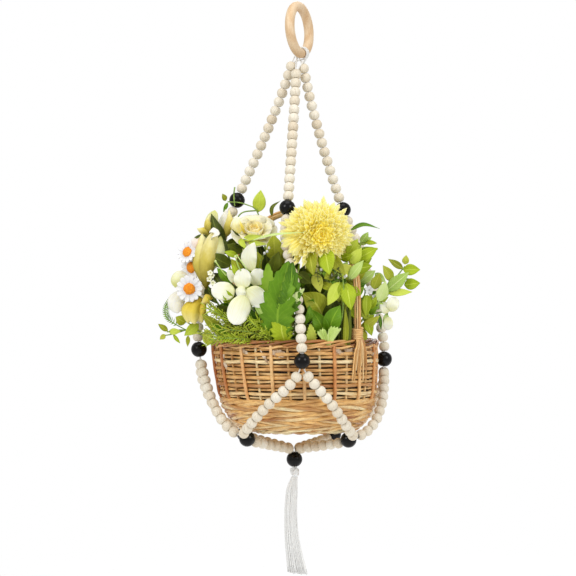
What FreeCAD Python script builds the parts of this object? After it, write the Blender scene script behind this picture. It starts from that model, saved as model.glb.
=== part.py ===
import FreeCAD, Part
import math
import os
from FreeCAD import Placement, Rotation, Vector

# Hanging planter: a wooden ring, four folded cords threaded with wooden beads into a
# four-legged net, a wicker basket with a handle standing in the net, an arrangement of
# artificial flowers in the basket and a tassel below. Millimetres, +Z up. The origin is
# where a hook touches the top of the ring's hole. -Y is the front and +X is the right.

doc = FreeCAD.newDocument("hanging_planter")

# ---------------------------------------------------------------- driving dimensions

DIMENSIONS = [
    ("ring_outside", 65.0), ("ring_section", 11.0), ("ring_turn", -24.0), ("ring_lean", -3.7),
    ("bead_diameter", 12.0), ("bead_long", 10.25), ("bead_bore", 4.6), ("bead_pitch", 10.76),
    ("bottom_pitch", 10.4), ("upper_sag", 2.8),
    ("strand_gap", 0.4), ("black_diameter", 18.0), ("black_long", 17.2),
    ("black_bore", 6.4), ("bottom_bore", 7.8),
    ("cord_diameter", 1.6), ("cord_spacing", 1.95), ("loop_gap", 0.55), ("loop_angle", 8.0),
    ("rim_z", -378.0), ("rim_centre_x", -4.5), ("basket_centre_y", -14.0),
    ("base_z", -481.0), ("base_centre_x", 1.5), ("base_radius", 58.0), ("base_thick", 7.0),
    ("rim_radius", 92.5), ("rim_section", 8.4), ("weave_thick", 3.0), ("wale_thick", 6.0),
    ("stake_count", 16.0), ("stake_diameter", 3.0), ("stake_phase", 5.3), ("weave_gap", 0.5),
    ("liner_thick", 1.0), ("foam_top_z", -392.0), ("foam_gap", 1.5),
    ("handle_azimuth", -41.0), ("handle_diameter", 9.0), ("handle_top_z", -230.0),
    ("binding_diameter", 14.0), ("binding_high", 13.0),
    ("knot_diameter", 11.0), ("knot_high", 9.0),
    ("stem_diameter", 2.4),
]

sheet = doc.addObject("Spreadsheet::Sheet", "dimensions")
for row, (alias, value) in enumerate(DIMENSIONS, start=1):
    sheet.set(f"A{row}", alias)
    sheet.set(f"B{row}", str(value))
    sheet.setAlias(f"B{row}", alias)
doc.recompute()

NODES = []


def size(alias):
    """The value of one cell of the sheet."""
    return float(sheet.get(alias))


def node(thing, label):
    """Label a sub-part and put it on the list of files to write."""
    thing.Label = label
    NODES.append(thing)
    return thing


def feature(label, shape):
    """A sub-part whose shape is set directly."""
    thing = doc.addObject("Part::Feature", label)
    thing.Shape = shape
    return node(thing, label)


def bind(thing, **expressions):
    """Bind properties of a document object to cells of the sheet."""
    for name, expression in expressions.items():
        thing.setExpression(name, expression)
    return thing


# ---------------------------------------------------------------- paths and tubes

def turning_radius(before, corner, after):
    """The arc radius at a corner, 0.45 of the shorter run over the tangent of half the turn."""
    run_in = corner - before
    run_out = after - corner
    turn = run_in.getAngle(run_out)
    return 0.45 * min(run_in.Length, run_out.Length) / math.tan(turn / 2), turn


RADII = []


def rounded_edges(points):
    """Straight runs joined by tangent arcs, through a list of points."""
    edges = []
    start = points[0]
    for before, corner, after in zip(points, points[1:], points[2:]):
        radius, turn = turning_radius(before, corner, after)
        RADII.append((radius, math.degrees(turn), corner))
        setback = radius * math.tan(turn / 2)
        towards = (before - corner).normalize()
        onwards = (after - corner).normalize()
        arc_start = corner + towards * setback
        arc_end = corner + onwards * setback
        inward = (towards + onwards).normalize()
        middle = corner + inward * (radius / math.cos(turn / 2) - radius)
        edges.append(Part.LineSegment(start, arc_start).toShape())
        edges.append(Part.Arc(arc_start, middle, arc_end).toShape())
        start = arc_end
    edges.append(Part.LineSegment(start, points[-1]).toShape())
    return edges


def tube(edges, diameter):
    """A round tube swept along tangent edges."""
    path = Part.Wire(edges)
    first = path.Edges[0]
    at = first.valueAt(first.FirstParameter)
    along = first.tangentAt(first.FirstParameter)
    section = Part.Wire([Part.Circle(at, along, diameter / 2).toShape()])
    solid = path.makePipeShell([section], True, False)
    expected = math.pi * diameter ** 2 / 4 * path.Length
    if abs(solid.Volume / expected - 1) > 0.01:
        raise ValueError(f"tube volume {solid.Volume:.0f} is not {expected:.0f}")
    return solid


class Route:
    """A path of tangent edges that can be read by distance along it."""

    def __init__(self, points):
        self.edges = rounded_edges(points)
        self.length = sum(edge.Length for edge in self.edges)

    def at(self, distance):
        """The point and the direction at a distance along the path."""
        left = distance
        for edge in self.edges:
            if left <= edge.Length or edge is self.edges[-1]:
                break
            left -= edge.Length
        parameter = edge.getParameterByLength(min(left, edge.Length))
        return edge.valueAt(parameter), edge.tangentAt(parameter)


def along_axis(point, direction):
    """A placement at a point with the local +Z axis along a direction."""
    return Placement(point, Rotation(Vector(0, 0, 1), direction))


# ---------------------------------------------------------------- hanging ring

turned = Rotation(Vector(0, 0, 1), size("ring_turn"))
RING_AXIS = turned.multVec(Rotation(Vector(0, 1, 0), size("ring_lean")).multVec(Vector(1, 0, 0)))
RING_UP = (Vector(0, 0, 1) - RING_AXIS * RING_AXIS.z).normalize()
RING_ALONG = RING_AXIS.cross(RING_UP) * -1
BAR_RADIUS = size("ring_section") / 2
RING_RADIUS = size("ring_outside") / 2 - BAR_RADIUS
RING_CENTRE = RING_UP * (BAR_RADIUS - RING_RADIUS)


def make_ring():
    """The bent or turned wooden ring that goes over the hook."""
    ring = doc.addObject("Part::Torus", "ring")
    bind(ring, Radius1="(dimensions.ring_outside - dimensions.ring_section) / 2",
         Radius2="dimensions.ring_section / 2")
    ring.Placement = along_axis(RING_CENTRE, RING_AXIS)
    node(ring, "ring")


# ---------------------------------------------------------------- beads

def drilled_ball(name, diameter, long, bore):
    """A ball with two flats and a bore along local Z, its sizes bound to three cells."""
    ball = bind(doc.addObject("Part::Sphere", name + "_ball"), Radius=f"dimensions.{diameter} / 2")
    flats = bind(doc.addObject("Part::Cylinder", name + "_flats"),
                 Radius=f"dimensions.{diameter}", Height=f"dimensions.{long}")
    flats.setExpression("Placement.Base.z", f"-dimensions.{long} / 2")
    hole = bind(doc.addObject("Part::Cylinder", name + "_hole"),
                Radius=f"dimensions.{bore} / 2", Height=f"dimensions.{diameter} * 2")
    hole.setExpression("Placement.Base.z", f"-dimensions.{diameter}")
    trimmed = doc.addObject("Part::Common", name + "_trimmed")
    trimmed.Base = ball
    trimmed.Tool = flats
    drilled = doc.addObject("Part::Cut", name)
    drilled.Base = trimmed
    drilled.Tool = hole
    return drilled


def strand(label, route, count, lower_gap, upper_gap):
    """Natural beads threaded on a route, spread evenly between its two end gaps."""
    pitch = (route.length - lower_gap - upper_gap) / count
    beads = []
    for index in range(count):
        point, direction = route.at(upper_gap + pitch * (index + 0.5))
        bead = natural_bead.Shape.copy()
        bead.Placement = along_axis(point, direction)
        beads.append(bead)
    print(f"{label}: length {route.length:.1f}, pitch {pitch:.2f}")
    feature(label, Part.Compound(beads))


def settled(points, length):
    """Bow a route's inner points in or out from its chord until it has the wanted length."""
    chord = (points[-1] - points[0]).normalize()
    feet = [points[0] + chord * (point - points[0]).dot(chord) for point in points[1:-1]]
    low, high = 0.05, 3.0
    for attempt in range(30):
        bow = (low + high) / 2
        inner = [foot + (point - foot) * bow for foot, point in zip(feet, points[1:-1])]
        route = [points[0]] + inner + [points[-1]]
        if sum(edge.Length for edge in rounded_edges(route)) < length:
            low = bow
        else:
            high = bow
    return route


def black_bead(label, centre, axis, bore="black_bore"):
    """A painted bead at a crossing of the net."""
    bead = drilled_ball(label, "black_diameter", "black_long", bore)
    bead.Placement = along_axis(centre, axis)
    node(bead, label)


natural_bead = drilled_ball("natural_bead", "bead_diameter", "bead_long", "bead_bore")
doc.recompute()

# ---------------------------------------------------------------- the net's crossings

HALF_BLACK = size("black_long") / 2

TOP = {  # centre line of each leg just above its first bead
    "left": Vector(-6.5, 2.4, -57.8),
    "front": Vector(-2.3, -6.2, -67.6),
    "right": Vector(5.1, 0.1, -60.3),
    "back": Vector(-2.3, 9.0, -67.0),
}
UPPER = {
    "left": Vector(-70.1, 5.0, -216.0),
    "front": Vector(-12.5, -73.0, -227.0),
    "right": Vector(51.1, 0.0, -227.0),
    "back": Vector(-12.5, 78.0, -223.0),
}
BOW = {  # the middle strands are pushed outwards by the flowers
    "left": [Vector(-82, 1, -248), Vector(-99, -7, -290), Vector(-112, -14, -338)],
    "front": [Vector(-17, -87, -262), Vector(-9, -104, -293), Vector(1, -115, -334)],
    "right": [Vector(67, 4, -262), Vector(82, 9, -304), Vector(94, 13, -350)],
    "back": [Vector(-14, 92, -260), Vector(-11, 104, -302), Vector(-8, 106, -349)],
}
MIDDLE = {
    "left": Vector(-113.0, -16.0, -386.3),
    "front": Vector(3.6, -119.5, -396.8),
    "right": Vector(98.5, 11.5, -398.0),
    "back": Vector(-7.0, 93.0, -397.0),
}
MIDDLE_AXIS = {
    "left": Vector(0.15, 0.0, -0.99),
    "front": Vector(0.0, 0.15, -0.99),
    "right": Vector(-0.10, 0.0, -0.99),
    "back": Vector(0.0, -0.15, -0.99),
}
LOWER = {
    "front_left": Vector(-57.5, -67.0, -485.0),
    "front_right": Vector(56.0, -60.0, -486.6),
    "back_right": Vector(41.0, 49.0, -486.5),
    "back_left": Vector(-62.0, 37.0, -485.5),
}
DIAGONAL = {  # (leg, lower crossing): points between the two black beads
    ("left", "front_left"): [Vector(-106, -31, -417), Vector(-98, -46, -439),
                             Vector(-88, -58, -460), Vector(-75, -67, -476)],
    ("front", "front_left"): [Vector(-9, -116, -422), Vector(-30, -107, -442),
                              Vector(-48, -95, -462), Vector(-59, -83, -476)],
    ("front", "front_right"): [Vector(16, -115, -421), Vector(34, -107, -442),
                               Vector(49, -93, -464), Vector(59, -78, -479)],
    ("right", "front_right"): [Vector(98, -3, -422), Vector(95, -22, -446),
                               Vector(86, -42, -468), Vector(74, -54, -480)],
    ("right", "back_right"): [Vector(97, 28, -420), Vector(89, 45, -446),
                              Vector(72, 57, -470)],
    ("back", "back_right"): [Vector(7, 96, -421), Vector(26, 89, -446),
                             Vector(41, 75, -470)],
    ("back", "back_left"): [Vector(-22, 93, -422), Vector(-43, 83, -448),
                            Vector(-57, 64, -474)],
    ("left", "back_left"): [Vector(-110, 0, -417), Vector(-101, 16, -442),
                            Vector(-86, 27, -469)],
}
BOTTOM = Vector(-4.5, -13.0, -511.4)
LAST_BEAD_OUT = 8.7      # the last bead of each bottom strand, out from the bottom bead's axis
LAST_BEAD_UP = 12.7      # and above that bead's centre
CORD_RING = 2.3          # the eight cords stand in a circle of this radius in its bore
DIAGONAL_UPPER_GAP = 5.3 # bare cord below a middle black bead
DIAGONAL_LOWER_GAP = 5.3 # bare cord before a lower black bead
BOTTOM_UPPER_GAP = 0.6
BOTTOM_LOWER_GAP = 3.0   # bare cord above the bottom bead
SPARE = {("right", "front_right"): 1.6}  # extra bare cord in a diagonal


def leaning(start, end):
    return (end - start).normalize()


def upper_axis(leg):
    """The axis of an upper black bead, between the runs on its two sides."""
    return (leaning(TOP[leg], UPPER[leg]) + leaning(UPPER[leg], BOW[leg][0])).normalize()


def lower_axis(crossing):
    """The axis of a lower black bead: inwards and a little down."""
    level = BOTTOM - LOWER[crossing]
    level.z = 0
    return (level.normalize() + Vector(0, 0, -0.42)).normalize()


def ends(centre, axis):
    """The two mouths of a black bead's bore, a strand gap outside its flats."""
    unit = Vector(axis).normalize()
    reach = HALF_BLACK + size("strand_gap")
    return centre - unit * reach, centre + unit * reach


def outwards(crossing):
    """The level direction from the bottom bead's axis to a lower crossing."""
    level = LOWER[crossing] - BOTTOM
    level.z = 0
    return level.normalize()


def threaded_length(count, lower_gap, upper_gap, pitch="bead_pitch"):
    return count * size(pitch) + lower_gap + upper_gap


def upper_points(leg):
    """The points of an upper strand, which sags a little towards the middle."""
    start = TOP[leg]
    end = ends(UPPER[leg], upper_axis(leg))[0]
    level = start - end
    level.z = 0
    sag = level.normalize() * size("upper_sag")
    return [start, start * 0.75 + end * 0.25 + sag, start * 0.35 + end * 0.65 + sag, end]


def middle_points(leg):
    """The points of a middle strand from the upper to the middle black bead."""
    start = ends(UPPER[leg], upper_axis(leg))[1]
    end = ends(MIDDLE[leg], MIDDLE_AXIS[leg])[0]
    return settled([start] + BOW[leg] + [end], threaded_length(15, 0.0, 0.0))


def diagonal_points(leg, crossing):
    """The points of a diagonal strand from the middle to the lower black bead."""
    start = ends(MIDDLE[leg], MIDDLE_AXIS[leg])[1]
    end = ends(LOWER[crossing], lower_axis(crossing))[0]
    points = [start] + DIAGONAL[leg, crossing] + [end]
    length = threaded_length(10, DIAGONAL_LOWER_GAP, DIAGONAL_UPPER_GAP)
    return settled(points, length + SPARE.get((leg, crossing), 0.0))


def bottom_points(crossing):
    """The points of a bottom strand between its lower bead and the bottom bead."""
    out = outwards(crossing)
    start = ends(LOWER[crossing], lower_axis(crossing))[1]
    last = BOTTOM + out * LAST_BEAD_OUT + Vector(0, 0, LAST_BEAD_UP)
    sag = start * 0.45 + last * 0.55 + Vector(0, 0, -5.0)
    mouth = BOTTOM + out * CORD_RING + Vector(0, 0, HALF_BLACK + size("strand_gap"))
    length = threaded_length(6, BOTTOM_LOWER_GAP, BOTTOM_UPPER_GAP, "bottom_pitch")
    inner_length = (mouth - last).Length
    return settled([start, sag, last], length - inner_length) + [mouth]


UPPER_PATH = {leg: upper_points(leg) for leg in UPPER}
MIDDLE_PATH = {leg: middle_points(leg) for leg in MIDDLE}
DIAGONAL_PATH = {pair: diagonal_points(*pair) for pair in DIAGONAL}
BOTTOM_PATH = {crossing: bottom_points(crossing) for crossing in LOWER}


def make_net():
    """Four legs, eight diagonals and four bottom strands of beads, with black beads between."""
    for leg in UPPER:
        strand("upper_strand_" + leg, Route(UPPER_PATH[leg]), 15, 0.0, 0.0)
        strand("middle_strand_" + leg, Route(MIDDLE_PATH[leg]), 15, 0.0, 0.0)
        black_bead("upper_black_bead_" + leg, UPPER[leg], upper_axis(leg))
        black_bead("middle_black_bead_" + leg, MIDDLE[leg], MIDDLE_AXIS[leg])
    for (leg, crossing), path in DIAGONAL_PATH.items():
        strand(f"diagonal_{leg}_to_{crossing}", Route(path), 10,
               DIAGONAL_LOWER_GAP, DIAGONAL_UPPER_GAP)
    for crossing, path in BOTTOM_PATH.items():
        black_bead("lower_black_bead_" + crossing, LOWER[crossing], lower_axis(crossing))
        strand("bottom_strand_" + crossing, Route(path), 6, BOTTOM_LOWER_GAP, BOTTOM_UPPER_GAP)
    black_bead("bottom_black_bead", BOTTOM, Vector(0, 0, 1), "bottom_bore")


# ---------------------------------------------------------------- cords

# Each cord is folded over the ring's bar. Both halves go down one leg, part at its middle
# black bead, and each meets a neighbour's half at a lower black bead. All eight halves end
# in the knot under the bottom bead. A half is offset sideways from the middle of its bore.

LOOP_PLACE = {"front": -1.5, "left": -0.5, "right": 0.5, "back": 1.5}
HALVES = {
    "left": [("front_left", 1), ("back_left", -1)],
    "front": [("front_right", 1), ("front_left", -1)],
    "right": [("front_right", 1), ("back_right", -1)],
    "back": [("back_right", 1), ("back_left", -1)],
}
SIDEWAYS = {
    "left": Vector(0, -1, 0), "front": Vector(1, 0, 0),
    "right": Vector(0, -1, 0), "back": Vector(1, 0, 0),
}
CORD_END = 0.4           # the cords end this far below the bottom bead, where the knot hangs


def bar_point(angle):
    """A point on the bar's centre line, by its angle from the ring's lowest point."""
    turn = math.radians(angle)
    return RING_CENTRE + (RING_ALONG * math.sin(turn) - RING_UP * math.cos(turn)) * RING_RADIUS


BAR = bar_point(size("loop_angle"))
BAR_ALONG = (bar_point(size("loop_angle") + 1) - bar_point(size("loop_angle") - 1)).normalize()
SWING_OUT = BAR_ALONG.cross(Vector(0, 0, 1)).normalize()
LOOP_RADIUS = BAR_RADIUS + size("loop_gap") + size("cord_diameter") / 2
HALF_SPACING = size("cord_spacing") / 2


def loop_over_bar(leg, side):
    """Where one half leaves the bar: the loop's centre, the tangent point and a point after it."""
    centre = BAR + BAR_ALONG * (LOOP_PLACE[leg] * size("cord_spacing"))
    halfway = (SWING_OUT + SIDEWAYS[leg]).normalize()
    goal = TOP[leg] + halfway * (HALF_SPACING * side) - centre
    flat = goal - BAR_ALONG * goal.dot(BAR_ALONG)
    angle = math.degrees(math.acos(LOOP_RADIUS / flat.Length))
    unit = Vector(flat).normalize()
    outer = unit.cross(BAR_ALONG)
    hand = side if outer.dot(SWING_OUT) > 0 else -side
    touch = centre + Rotation(BAR_ALONG, -hand * angle).multVec(unit) * LOOP_RADIUS
    if (touch - centre).dot(outer) * hand < 0:
        touch = centre + Rotation(BAR_ALONG, hand * angle).multVec(unit) * LOOP_RADIUS
    easing = touch + (centre + flat - touch) * 0.25
    return centre, unit, touch, easing


def half_cord_points(leg, crossing, side):
    """The points of one half of a cord, from the ring's bar to the bottom bead."""
    centre, unit, touch, easing = loop_over_bar(leg, side)
    halfway = (SWING_OUT + SIDEWAYS[leg]).normalize() * (HALF_SPACING * side)
    offset = SIDEWAYS[leg] * (HALF_SPACING * side)
    points = [touch, easing, TOP[leg] + halfway]
    points += [point + offset for point in UPPER_PATH[leg][1:]]
    points += [point + offset for point in MIDDLE_PATH[leg]]
    points.append(ends(MIDDLE[leg], MIDDLE_AXIS[leg])[1] + offset)
    diagonal = DIAGONAL_PATH[leg, crossing]
    points += diagonal[1:-1]
    out = outwards(crossing)
    level = Vector(-out.y, out.x, 0)
    hand = 1 if (diagonal[-2] - LOWER[crossing]).dot(level) > 0 else -1
    points.append(diagonal[-1] + level * (HALF_SPACING * hand))
    points += [point + level * (HALF_SPACING * hand) for point in BOTTOM_PATH[crossing][:-1]]
    fan = Rotation(Vector(0, 0, 1), 22.5 * hand).multVec(out) * CORD_RING
    points.append(BOTTOM + fan + Vector(0, 0, HALF_BLACK + 1.0))
    points.append(BOTTOM + fan + Vector(0, 0, -HALF_BLACK - CORD_END))
    return points


def make_cord(leg):
    """One whole cord: up one half, over the bar and down the other half."""
    (first, first_side), (second, second_side) = HALVES[leg]
    up = half_cord_points(leg, first, first_side)
    down = half_cord_points(leg, second, second_side)
    centre, unit = loop_over_bar(leg, first_side)[:2]
    over = centre - unit * LOOP_RADIUS
    edges = rounded_edges(list(reversed(up)))
    edges.append(Part.Arc(up[0], over, down[0]).toShape())
    edges += rounded_edges(down)
    cord = tube(edges, size("cord_diameter"))
    print(f"cord_{leg}: {sum(edge.Length for edge in edges):.0f} mm long")
    feature("cord_" + leg, cord)


# ---------------------------------------------------------------- knot and tassel

KNOT_TOP = BOTTOM.z - HALF_BLACK - CORD_END - 1.0
KNOT_HIGH = size("knot_high")
TASSEL_LINE = [  # offset to the right, height and width
    (0.3, KNOT_TOP - KNOT_HIGH - 1.2, 3.0),
    (-0.6, KNOT_TOP - KNOT_HIGH - 6.0, 9.0),
    (-2.5, -548.0, 12.5),
    (-4.0, -575.0, 14.0),
    (-3.0, -605.0, 16.0),
    (3.0, -642.0, 21.0),
]


def make_knot():
    """The overhand knot that ties the eight cords under the bottom bead."""
    centre = Vector(BOTTOM.x + 0.3, BOTTOM.y, KNOT_TOP - KNOT_HIGH / 2)
    knot = doc.addObject("Part::Ellipsoid", "tassel_knot")
    bind(knot, Radius1="dimensions.knot_high / 2",
         Radius2="dimensions.knot_diameter / 2", Radius3="dimensions.knot_diameter / 2")
    knot.Angle1 = -90
    knot.Angle2 = 90
    knot.Placement = Placement(centre, Rotation())
    node(knot, "tassel_knot")


def make_tassel():
    """The hanging bundle of threads, as one plain solid of its outer shape."""
    sections = []
    for right, height, width in TASSEL_LINE:
        centre = Vector(BOTTOM.x + right, BOTTOM.y, height)
        ellipse = Part.Ellipse(centre, width / 2, width / 2 * 0.7)
        sections.append(Part.Wire([ellipse.toShape()]))
    feature("tassel", Part.makeLoft(sections, True, False))


# ---------------------------------------------------------------- basket

WALL = [  # outside of the wall: height and radius
    (-382.0, 95.0), (-394.0, 95.3), (-422.0, 92.6), (-440.0, 89.8),
    (-452.0, 86.5), (-466.0, 78.5), (-475.0, 70.0), (-481.0, 60.0),
]
WALE_TOP = -440.0


def basket_centre(height):
    """The basket leans: its axis moves to the right from the rim down to the base."""
    share = (size("rim_z") - height) / (size("rim_z") - size("base_z"))
    x = size("rim_centre_x") + share * (size("base_centre_x") - size("rim_centre_x"))
    return Vector(x, size("basket_centre_y"), height)


def wall_radius(height):
    """The outside radius of the wall at a height, by straight lines between the stations."""
    for (high, high_radius), (low, low_radius) in zip(WALL, WALL[1:]):
        if height >= low:
            share = (high - height) / (high - low)
            return high_radius + share * (low_radius - high_radius)
    return WALL[-1][1]


def round_section(height, inset):
    return Part.Wire([Part.Circle(basket_centre(height), Vector(0, 0, 1),
                                  wall_radius(height) - inset).toShape()])


def stations(top, bottom):
    """The heights at which a band of the wall is drawn."""
    between = [height for height, radius in WALL if bottom < height < top]
    return [top] + between + [bottom]


def band(label, top, bottom, outer_inset, inner_inset):
    """A closed ring of wall between two heights."""
    heights = stations(top, bottom)
    outer = Part.makeLoft([round_section(z, outer_inset) for z in heights], True, True)
    inner = Part.makeLoft([round_section(z, inner_inset) for z in heights], True, True)
    feature(label, outer.cut(inner))


def wall_point(azimuth, height, inset):
    turn = math.radians(azimuth)
    radius = wall_radius(height) - inset
    return basket_centre(height) + Vector(math.cos(turn), math.sin(turn), 0) * radius


def stake(azimuth, inset):
    """One upright stake from the border down to the top of the wale."""
    top = size("rim_z") - size("rim_section") / 2 - 0.5
    heights = [top, -394.0, -422.0, WALE_TOP + 0.6]
    points = [wall_point(azimuth, height, inset) for height in heights]
    return tube(rounded_edges(points), size("stake_diameter"))


def make_basket_walls():
    """Base, wale, side weave, stakes and border of the wicker basket."""
    stake_width = size("stake_diameter")
    gap = size("weave_gap")
    weave_outer = stake_width + gap
    weave_inner = weave_outer + size("weave_thick")
    base = bind(doc.addObject("Part::Cone", "basket_base"),
                Radius1="dimensions.base_radius - 3", Radius2="dimensions.base_radius",
                Height="dimensions.base_thick")
    base.Placement = Placement(basket_centre(size("base_z")), Rotation())
    node(base, "basket_base")
    wale_bottom = size("base_z") + 1.0
    band("basket_lower_wale", WALE_TOP, wale_bottom, 0.0, size("wale_thick"))
    border_bottom = size("rim_z") - size("rim_section") / 2 - 0.3
    band("basket_side_weave", border_bottom, WALE_TOP + 0.4, weave_outer, weave_inner)
    count = int(size("stake_count"))
    step = 360.0 / count
    first = -90.0 + size("stake_phase")
    outer = [stake(first + step * i, stake_width / 2) for i in range(count)]
    inner_inset = weave_inner + gap + stake_width / 2
    inner = [stake(first + step * (i + 0.5), inner_inset) for i in range(count)]
    feature("basket_stakes", Part.Compound(outer + inner))
    border = bind(doc.addObject("Part::Torus", "basket_border"),
                  Radius1="dimensions.rim_radius", Radius2="dimensions.rim_section / 2")
    border.Placement = Placement(basket_centre(size("rim_z")), Rotation())
    node(border, "basket_border")


def make_handle():
    """The arched cane handle, bound to the border at both feet."""
    turn = math.radians(size("handle_azimuth"))
    out = Vector(math.cos(turn), math.sin(turn), 0)
    centre = basket_centre(size("rim_z"))
    radius = size("rim_radius")
    spring = size("handle_top_z") - radius
    crown = Vector(centre.x, centre.y, spring + radius)
    edges = []
    feet = [centre + out * radius, centre - out * radius]
    shoulders = [Vector(foot.x, foot.y, spring) for foot in feet]
    edges.append(Part.LineSegment(feet[0], shoulders[0]).toShape())
    edges.append(Part.Arc(shoulders[0], crown, shoulders[1]).toShape())
    edges.append(Part.LineSegment(shoulders[1], feet[1]).toShape())
    feature("basket_handle", tube(edges, size("handle_diameter")))
    for foot, place in zip(feet, ("front", "back")):
        binding = doc.addObject("Part::Cut", "handle_binding_" + place)
        wrap = bind(doc.addObject("Part::Cylinder", f"binding_{place}_wrap"),
                    Radius="dimensions.binding_diameter / 2", Height="dimensions.binding_high")
        core = bind(doc.addObject("Part::Cylinder", f"binding_{place}_core"),
                    Radius="dimensions.handle_diameter / 2 + 0.1",
                    Height="dimensions.binding_high")
        binding.Base = wrap
        binding.Tool = core
        above = size("rim_z") + size("rim_section") / 2 + 0.4
        binding.Placement = Placement(Vector(foot.x, foot.y, above), Rotation())
        node(binding, "handle_binding_" + place)


def make_liner_and_foam():
    """The thin plastic pot inside the wicker and the foam block that holds the stems."""
    inset = 2 * size("stake_diameter") + 2 * size("weave_gap") + size("weave_thick") + 0.5
    thick = size("liner_thick")
    top = size("rim_z") - 2.0
    floor = size("base_z") + size("base_thick") + 0.5
    heights = [top, -422.0, -440.0, -452.0, -466.0, floor]
    outer = Part.makeLoft([round_section(z, inset) for z in heights], True, True)
    heights[-1] = floor + thick
    inner = Part.makeLoft([round_section(z, inset + thick) for z in heights], True, True)
    feature("basket_liner", outer.cut(inner))
    foam_inset = inset + thick + size("foam_gap")
    heights = [size("foam_top_z"), -422.0, -440.0, -452.0, -466.0, floor + thick + 0.5]
    foam = Part.makeLoft([round_section(z, foam_inset) for z in heights], True, True)
    feature("flower_foam", foam)


# ---------------------------------------------------------------- flowers and leaves

STEM_DEPTH = 25.0        # each stem is pushed this far into the foam
BANDS = 8                # level bands in an egg shape
POLE_ANGLE = 12.0        # its flat ends reach this many degrees from its poles


def oval(half_x, half_y, height):
    """A level ellipse about the Z axis."""
    centre = Vector(0, 0, height)
    ends_of_axes = sorted([Vector(half_x, 0, height), Vector(0, half_y, height)],
                          key=lambda end: (end - centre).Length)
    ellipse = Part.Ellipse(ends_of_axes[1], ends_of_axes[0], centre)
    return Part.Wire([ellipse.toShape()])


def ball(centre, half_sizes, leaning_angle=0.0, turned_angle=0.0):
    """A plain egg shape, lofted in level bands, of a flower's or a leaf spray's outer size."""
    half_x, half_y, half_z = half_sizes
    if half_x == half_y:
        half_y = half_x * 0.999
    sections = []
    for step in range(BANDS + 1):
        turn = math.radians(POLE_ANGLE + (180 - 2 * POLE_ANGLE) * step / BANDS)
        width = math.sin(turn)
        sections.append(oval(half_x * width, half_y * width, -half_z * math.cos(turn)))
    shape = Part.makeLoft(sections, True, True)
    rotation = Rotation(turned_angle, 0, 0) * Rotation(Vector(0, 1, 0), leaning_angle)
    shape.Placement = Placement(centre, rotation)
    return shape


def stem(head, root):
    """A stem from inside the foam up to the middle of a head."""
    start = Vector(root[0], root[1], size("foam_top_z") - STEM_DEPTH)
    knee = Vector(root[0], root[1], size("foam_top_z") + 12.0)
    return tube(rounded_edges([start, knee, head]), size("stem_diameter"))


def spray(label, heads):
    """A group of flowers or leaves: each head is an ellipsoid fused to its stem."""
    solids = []
    for centre, half_sizes, leaning_angle, turned_angle, root in heads:
        middle = Vector(*centre)
        head = ball(middle, half_sizes, leaning_angle, turned_angle)
        solids.append(head.fuse(stem(middle, root)).Solids[0])
    feature(label, Part.Compound(solids))


# name: [(centre, half sizes, lean about Y, turn about Z, where the stem enters the foam)]
SPRAYS = {
    "chrysanthemum": [((28, -87, -254), (34, 24, 29), 0, 0, (16, -52))],
    "rose": [((-50, -50, -251), (23, 22, 21), 0, 0, (-24, -40))],
    "white_orchid": [((-62, -84, -316), (22, 9, 27), 0, -15, (-34, -54))],
    "daisies": [
        ((-122, -52, -318), (9, 14, 14), 0, -20, (-52, -30)),
        ((-122, -46, -279), (9, 13, 13), 0, -20, (-46, -20)),
    ],
    "tulip_buds": [
        ((-95, -55, -283), (13, 13, 32), 8, 0, (-40, -34)),
        ((-99, -45, -234), (10, 10, 14), 0, 0, (-34, -18)),
        ((-108, -60, -347), (11, 11, 13), 0, 0, (-56, -42)),
    ],
    "broad_leaves": [
        ((-28, -92, -330), (13, 5, 38), -4, 0, (-14, -58)),
        ((22, -94, -334), (14, 5, 38), 4, 0, (2, -58)),
        ((47, -80, -352), (12, 5, 20), 0, 20, (30, -50)),
    ],
    "fern_fronds": [
        ((-66, -88, -360), (28, 9, 10), 0, -20, (-40, -62)),
        ((-12, 66, -332), (26, 9, 34), 0, 0, (-10, 42)),
    ],
    "right_branches": [
        ((52, -58, -318), (12, 12, 26), 20, 0, (30, -36)),
        ((118, -35, -315), (20, 10, 20), 60, -10, (48, -26)),
        ((94, -30, -270), (12, 10, 14), 40, 0, (40, -14)),
        ((100, -40, -358), (12, 10, 18), 30, -10, (52, -40)),
    ],
    "left_branches": [
        ((-141, -45, -364), (24, 8, 12), 0, -10, (-56, -20)),
        ((-66, -18, -205), (20, 8, 18), 0, 0, (-24, -8)),
    ],
    "back_leaves": [
        ((54, 44, -300), (24, 9, 38), 20, 40, (34, 24)),
        ((-60, 66, -300), (20, 9, 38), -20, -35, (-40, 32)),
        ((26, 26, -262), (20, 14, 26), 0, 0, (12, 10)),
    ],
}


# ---------------------------------------------------------------- build, check and write

def check(things):
    """Stop if anything in the document failed or a sub-part's shape is not sound."""
    doc.recompute()
    for thing in doc.Objects:
        if "Invalid" in thing.State or "Error" in thing.State:
            raise RuntimeError(f"{thing.Label} failed: {thing.State}")
    for thing in things:
        if thing.Shape.isNull() or not thing.Shape.isValid() or not thing.Shape.Solids:
            raise RuntimeError(f"{thing.Label} has no sound solid")


def write(things):
    os.makedirs("parts", exist_ok=True)
    for thing in things:
        thing.Shape.exportStep(os.path.join("parts", thing.Label + ".step"))


make_ring()
make_net()
for leg_name in HALVES:
    make_cord(leg_name)
make_knot()
make_tassel()
make_basket_walls()
make_handle()
make_liner_and_foam()
for spray_name, spray_heads in SPRAYS.items():
    spray(spray_name, spray_heads)
check(NODES)
print(f"smallest arc radius {min(RADII)[0]:.1f} mm")
for arc_radius, arc_turn, arc_corner in sorted(RADII, key=lambda arc: arc[0])[:14]:
    print(f"  radius {arc_radius:.1f} mm, turn {arc_turn:.0f} degrees at {arc_corner}")
write(NODES)
print(f"{len(NODES)} sub-parts written")
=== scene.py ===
import math
import random

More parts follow.
